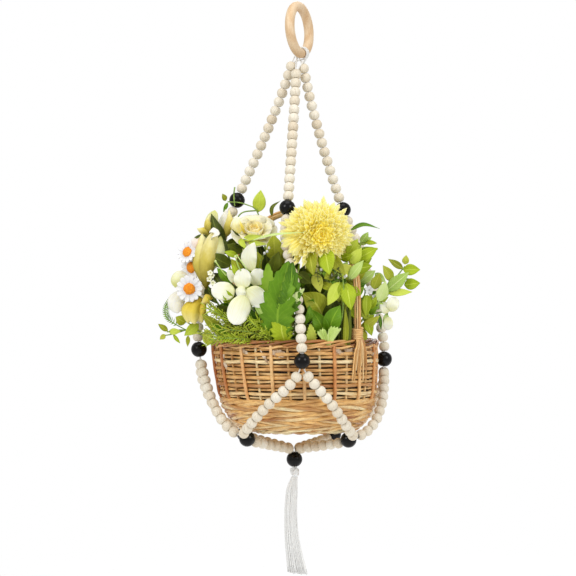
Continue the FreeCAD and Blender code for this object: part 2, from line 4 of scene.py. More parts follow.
import bpy
from mathutils import Matrix, Vector, noise


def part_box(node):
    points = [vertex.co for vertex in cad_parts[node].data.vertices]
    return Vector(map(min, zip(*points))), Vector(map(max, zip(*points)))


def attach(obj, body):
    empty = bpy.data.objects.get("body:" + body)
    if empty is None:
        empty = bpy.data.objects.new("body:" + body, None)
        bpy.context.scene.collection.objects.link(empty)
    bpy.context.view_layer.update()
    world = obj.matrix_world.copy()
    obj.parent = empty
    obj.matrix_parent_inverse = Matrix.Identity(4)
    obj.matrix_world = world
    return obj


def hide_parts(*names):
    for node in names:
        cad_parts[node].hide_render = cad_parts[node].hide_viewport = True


# The looks of the hanging planter. Positions are in millimetres in the row frame (+Z up,
# -Y towards the viewer, +X to the right) and become metres when a mesh is made. The camera,
# the floor and the lights are placed in metres.

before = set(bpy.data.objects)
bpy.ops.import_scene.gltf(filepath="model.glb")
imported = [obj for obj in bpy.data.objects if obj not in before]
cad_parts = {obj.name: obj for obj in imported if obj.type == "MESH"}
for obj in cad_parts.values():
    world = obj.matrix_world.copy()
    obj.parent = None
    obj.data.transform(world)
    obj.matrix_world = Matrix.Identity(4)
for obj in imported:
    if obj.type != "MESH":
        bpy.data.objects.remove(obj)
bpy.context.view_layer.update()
MM = 0.001
UP = Vector((0, 0, 1))
FRONT = Vector((0, -1, 0))
GOLDEN_ANGLE = 2.39996
ROOT = -405.0  # the height at which the stems stand in the foam
scene = bpy.context.scene
rng = random.Random(11)

# ---------------------------------------------------------------- camera


CAMERA_PLACE = (-0.0118, -3.0, -0.3166)
LENS, SENSOR = 164.0, 36.0


def make_camera():
    """A long lens, level and square to the front."""
    data = bpy.data.cameras.new("camera")
    data.lens = LENS
    data.sensor_width = SENSOR
    camera = bpy.data.objects.new("camera", data)
    scene.collection.objects.link(camera)
    camera.location = CAMERA_PLACE
    camera.rotation_euler = (math.pi / 2, 0, 0)
    scene.camera = camera


make_camera()

# ---------------------------------------------------------------- materials


def srgb(red, green, blue):
    """A colour given as 0 to 255 display values, as linear light."""
    def linear(value):
        value /= 255
        return value / 12.92 if value <= 0.04045 else ((value + 0.055) / 1.055) ** 2.4
    return (linear(red), linear(green), linear(blue), 1.0)


class Material:
    """A node material with a Principled surface and small helpers for adding nodes."""

    def __init__(self, name, **surface):
        self.data = bpy.data.materials.new(name)
        self.data.use_nodes = True
        self.tree = self.data.node_tree
        self.surface = self.tree.nodes["Principled BSDF"]
        for key, value in surface.items():
            self.surface.inputs[key.replace("_", " ")].default_value = value

    def add(self, kind, settings=None, **inputs):
        made = self.tree.nodes.new(kind)
        for key, value in (settings or {}).items():
            setattr(made, key, value)
        for key, value in inputs.items():
            self.put(made.inputs[key.replace("_", " ")], value)
        return made

    def put(self, socket, value):
        if isinstance(value, bpy.types.NodeSocket):
            self.tree.links.new(value, socket)
        else:
            socket.default_value = value

    def maths(self, operation, first, second=0.0):
        made = self.add("ShaderNodeMath", {"operation": operation})
        self.put(made.inputs[0], first)
        self.put(made.inputs[1], second)
        return made.outputs[0]

    def ramp(self, value, stops):
        made = self.add("ShaderNodeValToRGB", Fac=value)
        elements = made.color_ramp.elements
        while len(elements) < len(stops):
            elements.new(0.5)
        for element, (position, colour) in zip(elements, stops):
            element.position = position
            element.color = colour
        return made.outputs[0]

    def mix(self, amount, first, second, blend="MIX"):
        """Two colours mixed: a mix node keeps its colours at inputs 6 and 7 and output 2."""
        made = self.add("ShaderNodeMix", {"data_type": "RGBA", "blend_type": blend})
        for socket, value in ((0, amount), (6, first), (7, second)):
            self.put(made.inputs[socket], value)
        return made.outputs[2]

    def place(self):
        """The place on the object, in metres."""
        return self.add("ShaderNodeTexCoord").outputs["Object"]

    def surface_place(self):
        """The place across and along a rod or a blade."""
        return self.add("ShaderNodeTexCoord").outputs["UV"]

    def island(self):
        """A number of its own for each separate bead, rod or blade."""
        return self.add("ShaderNodeNewGeometry").outputs["Random Per Island"]

    def stretched(self, vector, scale):
        return self.add("ShaderNodeMapping", Vector=vector, Scale=scale).outputs[0]

    def noise(self, vector, scale, detail=4.0, roughness=0.55):
        return self.add("ShaderNodeTexNoise", Vector=vector, Scale=scale, Detail=detail,
                        Roughness=roughness).outputs[0]

    def bump(self, height, strength, distance):
        made = self.add("ShaderNodeBump", Height=height, Strength=strength,
                        Distance=distance)
        self.put(self.surface.inputs["Normal"], made.outputs[0])

    def colour(self, socket):
        self.put(self.surface.inputs["Base Color"], socket)


def bead_material():
    """Pale wood turned across its grain: each bead has its own tone and direction."""
    m = Material("natural_bead_wood", Roughness=0.5)
    shift = m.add("ShaderNodeCombineXYZ", X=m.island(), Y=m.maths("MULTIPLY", m.island(), 3.7),
                  Z=m.island()).outputs[0]
    place = m.add("ShaderNodeVectorMath", {"operation": "ADD"})
    m.put(place.inputs[0], m.place())
    m.put(place.inputs[1], shift)
    turned = m.add("ShaderNodeMapping", Vector=place.outputs[0], Rotation=(0.7, 0.5, 0.3),
                   Scale=(1.0, 1.0, 0.12)).outputs[0]
    grain = m.noise(turned, 1500.0, 5.0, 0.6)
    tone = m.ramp(m.island(), [(0.0, srgb(238, 231, 214)), (0.5, srgb(231, 221, 200)),
                               (1.0, srgb(223, 209, 184))])
    lines = m.ramp(grain, [(0.36, srgb(196, 168, 130)), (0.50, srgb(255, 255, 255))])
    cracks = m.ramp(m.noise(turned, 520.0, 3.0), [(0.30, srgb(150, 118, 84)),
                                                  (0.345, srgb(255, 255, 255))])
    coat = m.mix(0.42, tone, lines, "MULTIPLY")
    m.colour(m.mix(0.35, coat, cracks, "MULTIPLY"))
    m.bump(grain, 0.25, 0.0002)
    return m.data


def black_material():
    """Black lacquer, a little worn."""
    m = Material("black_lacquer", Roughness=0.22, Specular_IOR_Level=0.22)
    wear = m.noise(m.place(), 260.0, 5.0)
    m.colour(m.ramp(wear, [(0.35, srgb(6, 5, 5)), (0.75, srgb(15, 13, 12))]))
    m.bump(m.noise(m.place(), 900.0, 2.0), 0.05, 0.0002)
    return m.data


def ring_material():
    """Light birch with growth rings that show as arcs round the top."""
    m = Material("ring_wood", Roughness=0.48)
    place = m.place()
    wide = m.add("ShaderNodeTexWave", {"wave_type": "RINGS", "rings_direction": "Y"},
                 Vector=m.stretched(place, (1.0, 1.0, 0.55)), Scale=34.0, Distortion=2.2,
                 Detail=2.0, Detail_Scale=1.2).outputs[1]
    fibre = m.noise(m.stretched(place, (1.0, 1.0, 0.10)), 1400.0, 4.0)
    base = m.ramp(wide, [(0.0, srgb(222, 190, 148)), (0.55, srgb(228, 199, 160)),
                         (1.0, srgb(233, 208, 172))])
    m.colour(m.mix(0.35, base, m.ramp(fibre, [(0.3, srgb(196, 150, 98)),
                                              (0.6, srgb(255, 255, 255))]), "MULTIPLY"))
    m.bump(fibre, 0.15, 0.0002)
    return m.data


def cord_material():
    """White cord with slanting strands."""
    m = Material("white_cord", Roughness=0.62, Sheen_Weight=0.25)
    place = m.place()
    strands = m.add("ShaderNodeTexWave", {"bands_direction": "DIAGONAL"}, Vector=place,
                    Scale=420.0, Distortion=0.8).outputs[1]
    m.colour(m.ramp(strands, [(0.0, srgb(220, 218, 212)), (0.6, srgb(244, 243, 239))]))
    m.bump(strands, 0.35, 0.0004)
    return m.data


def thread_material():
    """White thread, each with its own tone and twist."""
    m = Material("tassel_threads", Roughness=0.75, Sheen_Weight=0.3)
    along = m.stretched(m.surface_place(), (1.0, 900.0, 1.0))
    tone = m.ramp(m.island(), [(0.0, srgb(232, 232, 230)), (1.0, srgb(252, 252, 250))])
    twist = m.noise(along, 2.0, 2.0)
    m.colour(m.mix(0.3, tone, m.ramp(twist, [(0.3, srgb(190, 190, 188)),
                                             (0.6, srgb(255, 255, 255))]), "MULTIPLY"))
    m.bump(twist, 0.2, 0.0002)
    return m.data


def willow_material(name, dark, middle, light):
    """Peeled willow: long fibres, a tone of its own for each rod, and darker stains."""
    m = Material(name, Roughness=0.42, Coat_Weight=0.3, Coat_Roughness=0.3)
    surface = m.surface_place()
    fibre = m.noise(m.stretched(surface, (9.0, 60.0, 1.0)), 2.0, 5.0, 0.65)
    stain = m.noise(m.place(), 42.0, 3.0)
    tone = m.ramp(m.maths("ADD", m.maths("MULTIPLY", m.island(), 0.65),
                          m.maths("MULTIPLY", stain, 0.45)),
                  [(0.18, srgb(*dark)), (0.5, srgb(*middle)), (0.86, srgb(*light))])
    streaks = m.ramp(fibre, [(0.33, srgb(148, 88, 36)), (0.56, srgb(255, 255, 255))])
    m.colour(m.mix(0.72, tone, streaks, "MULTIPLY"))
    m.bump(fibre, 0.6, 0.0005)
    return m.data


def petal_material(name, base, tip, edge=None, glow=0.0, lit=0.0):
    """Dyed cloth petal: its colour changes from base to tip and edge, with fine lengthwise
    pleats, darkened in their folds as painted shade. glow is light scattered in the cloth, lit a
    weak emission: a painted glow for light through the cloth."""
    m = Material(name, Roughness=0.7, Specular_IOR_Level=0.25)
    if glow:
        m.surface.inputs["Subsurface Weight"].default_value = glow
        m.surface.inputs["Subsurface Radius"].default_value = (1.0, 0.85, 0.4)
        m.surface.inputs["Subsurface Scale"].default_value = 0.005
    # lit: a painted glow, a weak emission in the tip colour that lifts the shade among the petals.
    if lit:
        m.surface.inputs["Emission Color"].default_value = srgb(*tip)
        m.surface.inputs["Emission Strength"].default_value = lit
    split = m.add("ShaderNodeSeparateXYZ", Vector=m.surface_place())
    along = split.outputs[1]
    patch = m.noise(m.place(), 160.0, 3.0)
    step = m.maths("ADD", along, m.maths("MULTIPLY", m.maths("SUBTRACT", patch, 0.5), 0.35))
    stops = [(0.0, srgb(*base)), (0.55, srgb(*tip)), (1.0, srgb(*(edge or tip)))]
    # Fine lengthwise pleats: a bump, and a darker colour in their folds as painted shade.
    pleats = m.noise(m.stretched(m.surface_place(), (26.0, 1.4, 1.0)), 1.0, 3.0)
    shade = m.ramp(pleats, [(0.3, srgb(244, 230, 190)), (0.55, srgb(255, 255, 255))])
    m.colour(m.mix(0.45, m.ramp(step, stops), shade, "MULTIPLY"))
    m.bump(pleats, 0.3, 0.0003)
    return m.data


def leaf_material(name, dark, middle, light):
    """A cloth leaf: a pale midrib, side veins, mottling, and a tone of its own."""
    m = Material(name, Roughness=0.5, Specular_IOR_Level=0.25)
    split = m.add("ShaderNodeSeparateXYZ", Vector=m.surface_place())
    across = m.maths("ABSOLUTE", m.maths("SUBTRACT", split.outputs[0], 0.5))
    slant = m.maths("SUBTRACT", split.outputs[1], m.maths("MULTIPLY", across, 0.55))
    veins = m.maths("ABSOLUTE", m.maths("SINE", m.maths("MULTIPLY", slant, 30.0)))
    mottle = m.noise(m.place(), 75.0, 4.0)
    tone = m.ramp(m.maths("ADD", m.maths("MULTIPLY", m.island(), 0.6),
                          m.maths("MULTIPLY", mottle, 0.5)),
                  [(0.2, srgb(*dark)), (0.52, srgb(*middle)), (0.86, srgb(*light))])
    veined = m.mix(m.ramp(veins, [(0.0, (0.35, 0.35, 0.35, 1)), (0.22, (0, 0, 0, 1))]),
                   tone, srgb(*light))
    rib = m.ramp(across, [(0.015, (0.75, 0.75, 0.75, 1)), (0.05, (0, 0, 0, 1))])
    m.colour(m.mix(rib, veined, srgb(*light)))
    m.bump(veins, 0.35, 0.0004)
    return m.data


def plain_cloth(name, dark, light, scale=300.0, roughness=0.7):
    """A mottled surface for stems, buds and flower discs."""
    m = Material(name, Roughness=roughness)
    spots = m.noise(m.place(), scale, 4.0)
    m.colour(m.ramp(spots, [(0.32, srgb(*dark)), (0.68, srgb(*light))]))
    m.bump(spots, 0.5, 0.0005)
    return m.data


def liner_material(name, dark, light):
    """Creased film, darker in its folds as painted shade."""
    m = Material(name, Roughness=0.35)
    crease_shade = m.noise(m.stretched(m.place(), (1.0, 1.0, 0.35)), 130.0, 4.0)
    m.colour(m.ramp(crease_shade, [(0.35, srgb(*dark)), (0.7, srgb(*light))]))
    m.bump(crease_shade, 0.6, 0.001)
    return m.data


BEAD = bead_material()
BLACK = black_material()
RING = ring_material()
CORD = cord_material()
THREAD = thread_material()
WEAVER = willow_material("willow_weaver", (160, 88, 28), (246, 198, 120), (255, 242, 192))
STAKE = willow_material("willow_stake", (184, 106, 46), (236, 170, 100), (255, 216, 150))
RIM = willow_material("willow_rim", (96, 50, 14), (196, 128, 60), (255, 208, 132))
CANE = willow_material("handle_cane", (206, 144, 72), (244, 194, 118), (252, 220, 160))
LINER = liner_material("clear_liner", (170, 140, 106), (232, 214, 188))
# The basket liner is painted dark brown: painted shade for the dark gaps behind the weave.
LINER_PAINTED_SHADE = liner_material("liner_painted_shade", (34, 20, 8), (74, 46, 22))
FOAM = plain_cloth("flower_foam", (34, 44, 14), (64, 78, 28), 500.0, 0.9)
STEM = plain_cloth("green_stem", (96, 128, 44), (150, 178, 78))
TWIG = plain_cloth("olive_twig", (78, 84, 36), (120, 130, 62))
BRIGHT = leaf_material("leaf_bright", (140, 162, 16), (172, 192, 34), (206, 220, 88))
MIDDLE = leaf_material("leaf_middle", (66, 106, 6), (98, 142, 14), (142, 180, 46))
# Dark green for the leaves set deep in the foliage: partly their own tone, partly painted shade.
DARK_AND_SHADE_LEAF = leaf_material("leaf_dark_and_painted_shade", (50, 62, 8), (80, 92, 16), (120, 130, 40))
LIGHT = leaf_material("leaf_light", (158, 190, 84), (190, 216, 116), (220, 234, 160))
OLIVE = leaf_material("leaf_olive", (134, 140, 20), (168, 176, 40), (202, 206, 86))
# The rose heart, mum and mum heart petals carry a painted glow through lit.
CREAM_HEART = petal_material("cream_heart", (234, 198, 90), (250, 230, 150), (252, 240, 186),
                             glow=0.4, lit=0.08)
MUM = petal_material("mum_petal", (255, 216, 66), (255, 238, 110), (255, 247, 166), glow=0.5,
                     lit=0.05)
MUM_HEART = petal_material("mum_heart", (255, 220, 66), (255, 238, 104), (255, 243, 132),
                           glow=0.5, lit=0.11)
CREAM = petal_material("cream_petal", (248, 220, 116), (253, 244, 188), (254, 249, 220), glow=0.4)
ORCHID = petal_material("orchid_petal", (238, 239, 176), (249, 250, 224), (252, 252, 238),
                        glow=0.15)
DAISY = petal_material("daisy_petal", (226, 230, 232), (242, 243, 246), (248, 248, 250), glow=0.1)
TULIP = petal_material("tulip_petal", (124, 114, 24), (212, 194, 88), (252, 244, 182), glow=0.15)
GOLD = petal_material("golden_petal", (206, 172, 34), (236, 212, 84), (246, 234, 160), glow=0.1)
BLUSH_WHITE = petal_material("warm_white_petal", (232, 228, 206), (246, 244, 232), glow=0.15)
PALE_EDGED = petal_material("pale_edged_petal", (248, 248, 236), (236, 236, 190), (206, 208, 120),
                            glow=0.15)
PINK = petal_material("blush_petal", (228, 196, 178), (240, 222, 208), (246, 236, 226))
DISC = plain_cloth("daisy_disc", (226, 116, 8), (250, 168, 34), 900.0, 0.85)

# ---------------------------------------------------------------- mesh building


class Mesh:
    """Vertices in millimetres, faces, a surface coordinate per vertex, a material per face."""

    def __init__(self):
        self.points, self.faces, self.places, self.slots = [], [], [], []

    def rings(self, rings, places, slot, joined=False):
        """Join equal rings of points into a skin, capped unless the ends are joined."""
        first = len(self.points)
        width = len(rings[0])
        for ring, place in zip(rings, places):
            self.points += ring
            self.places += place
        count = len(rings)
        faces = []
        for i in range(count if joined else count - 1):
            here, there = first + i * width, first + (i + 1) % count * width
            for j in range(width):
                k = (j + 1) % width
                faces.append((here + j, here + k, there + k, there + j))
        if not joined:
            faces.append(tuple(first + j for j in reversed(range(width))))
            last = first + (count - 1) * width
            faces.append(tuple(last + j for j in range(width)))
        self.faces += faces
        self.slots += [slot] * len(faces)

    def make(self, name, materials, body, nodes=()):
        """Make the piece: it rides its body and stands in for the CAD nodes given."""
        data = bpy.data.meshes.new(name)
        data.from_pydata([point * MM for point in self.points], [], self.faces)
        layer = data.uv_layers.new(name="surface")
        order = [0] * len(data.loops)
        data.loops.foreach_get("vertex_index", order)
        layer.data.foreach_set("uv", [c for index in order for c in self.places[index]])
        data.polygons.foreach_set("use_smooth", [True] * len(self.faces))
        data.polygons.foreach_set("material_index", self.slots)
        for material in materials:
            data.materials.append(material)
        made = bpy.data.objects.new(name, data)
        scene.collection.objects.link(made)
        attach(made, body)
        if nodes:
            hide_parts(*nodes)
        return made


def smooth(points, count):
    """A smooth line through the points, as count + 1 points."""
    points = [Vector(point) for point in points]
    if len(points) == 2:
        return [points[0].lerp(points[1], i / count) for i in range(count + 1)]
    padded = [points[0] * 2 - points[1]] + points + [points[-1] * 2 - points[-2]]
    spans = len(points) - 1
    line = []
    for i in range(count + 1):
        position = min(i / count * spans, spans - 1e-9)
        k = int(position)
        t = position - k
        a, b, c, d = padded[k:k + 4]
        line.append(((b * 2) + (c - a) * t + (a * 2 - b * 5 + c * 4 - d) * t * t
                     + (b * 3 - a - c * 3 + d) * t ** 3) / 2)
    return line


def tube(mesh, line, radius, sides=8, slot=0, flat=1.0, joined=False):
    """A round rod along a line. radius is a number or one number for each point."""
    line = [Vector(point) for point in line]
    count = len(line)
    radii = radius if isinstance(radius, (list, tuple)) else [radius] * count
    side = None
    start = rng.random()
    length = 0.0
    rings, places = [], []
    for i, point in enumerate(line):
        before = line[i - 1] if (i or joined) else point
        after = line[(i + 1) % count] if (i < count - 1 or joined) else point
        along = (after - before).normalized()
        if side is None:
            side = along.orthogonal().normalized()
        side = (side - along * side.dot(along)).normalized()
        other = along.cross(side)
        if i:
            length += (point - line[i - 1]).length
        ring, place = [], []
        for j in range(sides):
            turn = 2 * math.pi * j / sides
            ring.append(point + side * (math.cos(turn) * radii[i])
                        + other * (math.sin(turn) * radii[i] * flat))
            place.append((j / sides, start + length * MM))
        rings.append(ring)
        places.append(place)
    mesh.rings(rings, places, slot, joined=joined)


def blunt(u, start, span):
    """1 up to the start, then a quarter of an ellipse down to 0 over the span."""
    return math.sqrt(max(0, 1 - max(0, (u - start) / span) ** 2))


# The half width of a blade as a share of its widest, for u from 0 at the root to 1 at the tip.
PROFILES = {
    "oval": lambda u: math.sin(math.pi * u) ** 0.8,
    "leaf": lambda u: math.sin(math.pi * u ** 0.8) ** 0.95,
    "lance": lambda u: math.sin(math.pi * u ** 0.65) ** 1.2,
    "round": lambda u: math.sqrt(max(0.0, 1 - (2 * u - 1) ** 2)),
    "strap": lambda u: (0.5 + 0.5 * min(1.0, u / 0.4)) * blunt(u, 0.8, 0.2),
    "club": lambda u: (0.42 + 0.58 * max(0, (u - 0.35) / 0.65) ** 1.3) * blunt(u, 0.86, 0.14),
    "broad": lambda u: (math.sin(math.pi * u ** 0.7) ** 0.7) * (0.85 + 0.15 * u),
    "wide": lambda u: (math.sin(math.pi * u ** 0.95) ** 0.55) * (0.62 + 0.38 * u),
    "fan": lambda u: blunt(u, 0.7, 0.3) * (0.3 + 0.7 * min(1, u / 0.6)),
}


def blade(mesh, spine, width, face=FRONT, profile="leaf", cup=0.15, ruffle=0.0,
          teeth=0, depth=0.16, veins=0.0, thick=0.45, rows=12, cols=3, slot=0):
    """A leaf or petal: a thin closed sheet along a spine, its edges raised towards face."""
    line = smooth(spine, rows)
    face = Vector(face).normalized()
    shape = PROFILES[profile]
    phase = rng.random() * 6.28
    rings, places = [], []
    for i, point in enumerate(line):
        u = i / rows
        along = (line[min(i + 1, rows)] - line[max(i - 1, 0)]).normalized()
        normal = (face - along * face.dot(along)).normalized()
        side = along.cross(normal)
        half = width / 2 * max(shape(u), 0.03)
        if teeth:
            half *= 1 + depth * (u * teeth % 1.0) - 0.4 * depth
        upper, lower, upper_places = [], [], []
        for j in range(2 * cols + 1):
            v = j / cols - 1
            lift = cup * half * v * v * 1.6
            lift += ruffle * v ** 2 * math.sin(phase + u * 14 + v * 2.2)
            lift -= veins * abs(math.sin((u - abs(v) * 0.35) * teeth * math.pi))
            spot = point + side * (half * v) + normal * lift
            gap = normal * (thick / 2 * (1 - 0.75 * v * v))
            upper.append(spot + gap)
            lower.append(spot - gap)
            upper_places.append((v / 2 + 0.5, u))
        rings.append(upper + lower[::-1])
        places.append(upper_places + upper_places[::-1])
    mesh.rings(rings, places, slot)


def petals(mesh, centre, facing, count, length, width, opening, slot, turn=0.0, inset=2.0,
           curl=0.0, scatter=0.0, **shape):
    """A whorl of petals round an axis. opening is 0 along the axis and 90 flat open."""
    facing = Vector(facing).normalized()
    start = facing.orthogonal().normalized()
    for k in range(count):
        angle = 2 * math.pi * (k / count) + math.radians(turn) + rng.uniform(-1, 1) * scatter * 0.4
        out = Matrix.Rotation(angle, 3, facing) @ start
        lean = math.radians(opening) + rng.uniform(-1, 1) * scatter * 0.35
        reach = length * (1 + rng.uniform(-1, 1) * scatter * 0.3)
        way = facing * math.cos(lean) + out * math.sin(lean)
        inner = facing * math.sin(lean) - out * math.cos(lean)
        root = Vector(centre) + out * inset
        spine = [root, root + way * reach * 0.5 - inner * (curl * reach * 0.25),
                 root + way * reach + inner * (curl * reach * 0.35)]
        blade(mesh, spine, width, inner, slot=slot, **shape)


def blob(mesh, centre, sizes, slot, bumps=0.0, rows=10, sides=14, facing=UP):
    """A small rounded lump, such as a bud or a flower's disc."""
    turn = UP.rotation_difference(Vector(facing).normalized()).to_matrix()
    rings, places = [], []
    for i in range(rows + 1):
        tilt = math.pi * (0.02 + 0.96 * i / rows)
        ring, place = [], []
        for j in range(sides):
            angle = 2 * math.pi * j / sides
            spot = Vector((math.sin(tilt) * math.cos(angle), math.sin(tilt) * math.sin(angle),
                           -math.cos(tilt)))
            swell = 1 + bumps * noise.noise(spot * 6 + Vector(centre) * 0.1)
            spot = Vector((spot.x * sizes[0], spot.y * sizes[1], spot.z * sizes[2])) * swell
            ring.append(Vector(centre) + turn @ spot)
            place.append((j / sides, i / rows))
        rings.append(ring)
        places.append(place)
    mesh.rings(rings, places, slot)


def jitter(size):
    """A random step of up to the size along each axis."""
    return Vector((rng.uniform(-size, size), rng.uniform(-size, size), rng.uniform(-size, size)))


def outward(angle):
    """The level direction at an angle about +Z."""
    return Vector((math.cos(angle), math.sin(angle), 0))


# ---------------------------------------------------------------- nodes kept from the CAD

for name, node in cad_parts.items():
    if "black_bead" in name:
        finish = BLACK
    elif "strand" in name or "diagonal" in name:
        finish = BEAD
    elif name.startswith("cord_"):
        finish = CORD
    elif name == "ring":
        finish = RING
    elif name == "basket_liner":
        finish = LINER_PAINTED_SHADE
    elif name == "flower_foam":
        finish = FOAM
    else:
        finish = WEAVER
    node.data.materials.clear()
    node.data.materials.append(finish)

# ---------------------------------------------------------------- basket

RIM_Z, BASE_Z = -378.0, -481.0
WALL = [(-382.0, 95.0), (-394.0, 95.3), (-422.0, 92.6), (-440.0, 89.8),
        (-452.0, 86.5), (-466.0, 78.5), (-475.0, 70.0), (-481.0, 60.0)]
STAKES = 16
STAKE_PHASE = math.radians(-90 + 5.3)
ROD_STEPS = 320


def basket_centre(height):
    """The basket's middle: it leans a little, so it moves right towards the base."""
    share = (RIM_Z - height) / (RIM_Z - BASE_Z)
    return Vector((-4.5 + 6.0 * share, -14.0, height))


def wall_radius(height):
    """The wall's outer radius, between the stations of WALL."""
    if height > WALL[0][0]:
        return WALL[0][1]
    for (high, outer), (low, inner) in zip(WALL, WALL[1:]):
        if height >= low:
            return outer + (high - height) / (high - low) * (inner - outer)
    return WALL[-1][1]


def wall_point(angle, height, inset):
    """A point that lies inset from the wall's outer face."""
    reach = wall_radius(height) - inset
    return basket_centre(height) + outward(angle) * reach


def round_line(steps, height, inset):
    """A closed line round the wall; height and inset are functions of the angle."""
    angles = [2 * math.pi * i / steps for i in range(steps)]
    return [wall_point(angle, height(angle), inset(angle)) for angle in angles]


def wobble(angle, seed, size):
    """An unevenness that closes on itself round the basket."""
    spot = Vector((math.cos(angle) * 2.2, math.sin(angle) * 2.2, seed * 7.3))
    return noise.noise(spot) * size


def make_side_weave():
    """Rows of willow rods, all behind the outer stakes and by turns in front of and behind
    the inner ones."""
    mesh = Mesh()
    rows, top, pitch = 13, -385.0, 4.45
    for row in range(rows):
        level = top - row * pitch
        ahead = row % 2 == 1
        thick = rng.uniform(1.85, 2.15) if ahead else rng.uniform(1.3, 1.6)
        middle, swing = (3.5, 1.4) if ahead else (5.8, -0.9)
        line = round_line(
            ROD_STEPS, lambda a: level + wobble(a, row, 1.5),
            lambda a: middle + swing * math.cos(STAKES * (a - STAKE_PHASE))
            + wobble(a, row + 40, 0.5))
        tube(mesh, line,
             [thick * (1 + wobble(i * 0.05, row + 9, 0.35)) for i in range(ROD_STEPS)],
             flat=1.1, joined=True)
    mesh.make("side_weave", [WEAVER], "basket", ["basket_side_weave"])


def make_lower_wale():
    """Rounds of three rods that cross over each other in long, gently slanting strokes."""
    mesh = Mesh()
    rounds = [(-444.2, 2.4), (-450.2, 2.2), (-456.0, 2.1), (-461.6, 2.0), (-466.8, 1.9),
              (-471.6, 1.8), (-476.0, 1.6)]
    for number, (level, thick) in enumerate(rounds):
        hand = 1 if number % 3 != 1 else -1
        turns = 6 if number else 5
        for strand in range(3):
            def turn(a):
                return hand * turns * a + strand * 2 * math.pi / 3 + number * 1.7

            line = round_line(
                ROD_STEPS,
                lambda a: level + 1.9 * math.sin(turn(a)) + wobble(a, number * 5 + strand, 1.1),
                lambda a: 3.2 - 1.9 * math.cos(turn(a)) + wobble(a, number * 3 + strand, 0.6))
            tube(mesh, line, thick * rng.uniform(0.85, 1.1), joined=True)
    mesh.make("lower_wale", [WEAVER], "basket", ["basket_lower_wale"])


def make_stakes():
    """Outer stakes over the side weave, and inner ones halfway between them."""
    mesh = Mesh()
    heights = [-379.5, -390.0, -402.0, -414.0, -426.0, -436.0, -443.0]
    foot = len(heights) - 1
    for i in range(STAKES):
        angle = STAKE_PHASE + 2 * math.pi * i / STAKES
        lean = rng.uniform(-0.012, 0.012)
        line = smooth([wall_point(angle + lean * (1 - k / 3), z, 1.9 if k < foot else 3.6)
                       for k, z in enumerate(heights)], 24)
        tube(mesh, line, [1.95 * (1 + 0.06 * math.sin(k * 0.8 + i)) for k in range(25)],
             sides=10)
        inner = angle + math.pi / STAKES
        line = smooth([wall_point(inner + lean, z, 4.9) for z in heights], 24)
        tube(mesh, line, 1.5, slot=1)
    mesh.make("stakes", [STAKE, WEAVER], "basket", ["basket_stakes"])


def make_border():
    """The rolled border: rods that lap over each other round the rim."""
    mesh = Mesh()
    laps, steps, overlap = 22, 26, 3.2
    for k in range(laps):
        start = 2 * math.pi * k / laps
        line = []
        for i in range(steps + 1):
            t = i / steps
            angle = start + t * 2 * math.pi / laps * overlap
            rise = 3.4 * math.sin(math.pi * (t * 1.3 - 0.15)) - 0.9
            out = 2.2 - 4.8 * t + 1.3 * math.sin(math.pi * t * 2)
            line.append(wall_point(angle, RIM_Z + rise + wobble(angle, k, 1.2), 2.4 - out))
        thick = rng.uniform(1.2, 1.75)
        swell = [math.sin(math.pi * min(1, i / steps * 1.02 + 0.02)) for i in range(steps + 1)]
        tube(mesh, line, [thick * (0.45 + 0.55 * share ** 0.4) for share in swell])
    for k in range(2):
        def turn(a):
            return 14 * a + k * math.pi

        line = round_line(288, lambda a: RIM_Z - 3.9 + 1.2 * k + 1.2 * math.sin(turn(a)),
                          lambda a: 2.3 - 1.4 * math.cos(turn(a)))
        tube(mesh, line, 1.35, joined=True)
    mesh.make("border", [RIM], "basket", ["basket_border"])


def make_base():
    """Woven base: crossed spokes with rods wound between them."""
    mesh = Mesh()
    centre = basket_centre(-477.5)
    spokes, reach, steps = 12, 59, 168
    for k in range(spokes):
        way = outward(math.pi * k / spokes)
        tube(mesh, smooth([centre - way * reach, centre, centre + way * reach], 12), 1.7, slot=1)
    for row in range(14):
        reach = 7 + row * 3.9
        side = 1 if row % 2 else -1
        line = []
        for i in range(steps):
            angle = 2 * math.pi * i / steps
            rise = 1.6 * side * math.cos(spokes * angle)
            line.append(centre + Vector((math.cos(angle) * reach, math.sin(angle) * reach,
                                         rise)))
        tube(mesh, line, 1.6, sides=6, joined=True)
    mesh.make("base_weave", [WEAVER, STAKE], "basket", ["basket_base"])


HANDLE_TURN = math.radians(-41)
HANDLE_OUT = outward(HANDLE_TURN)
HANDLE_ACROSS = HANDLE_OUT.cross(UP)
HANDLE_TOP = -230.0
HANDLE_REACH = 92.5
HANDLE_SPRING = HANDLE_TOP - HANDLE_REACH


def handle_point(t):
    """A point on the handle's middle line and its outward direction, t from 0 to 1."""
    centre = basket_centre(RIM_Z)
    legs = HANDLE_SPRING - RIM_Z
    arc = math.pi * HANDLE_REACH
    total = 2 * legs + arc
    distance = t * total
    if distance < legs:
        return centre + HANDLE_OUT * HANDLE_REACH + UP * distance, HANDLE_OUT
    if distance > legs + arc:
        return centre - HANDLE_OUT * HANDLE_REACH + UP * (total - distance), -HANDLE_OUT
    turn = (distance - legs) / HANDLE_REACH
    out = HANDLE_OUT * math.cos(turn) + UP * math.sin(turn)
    crown = Vector((centre.x, centre.y, HANDLE_SPRING))
    return crown + out * HANDLE_REACH, out


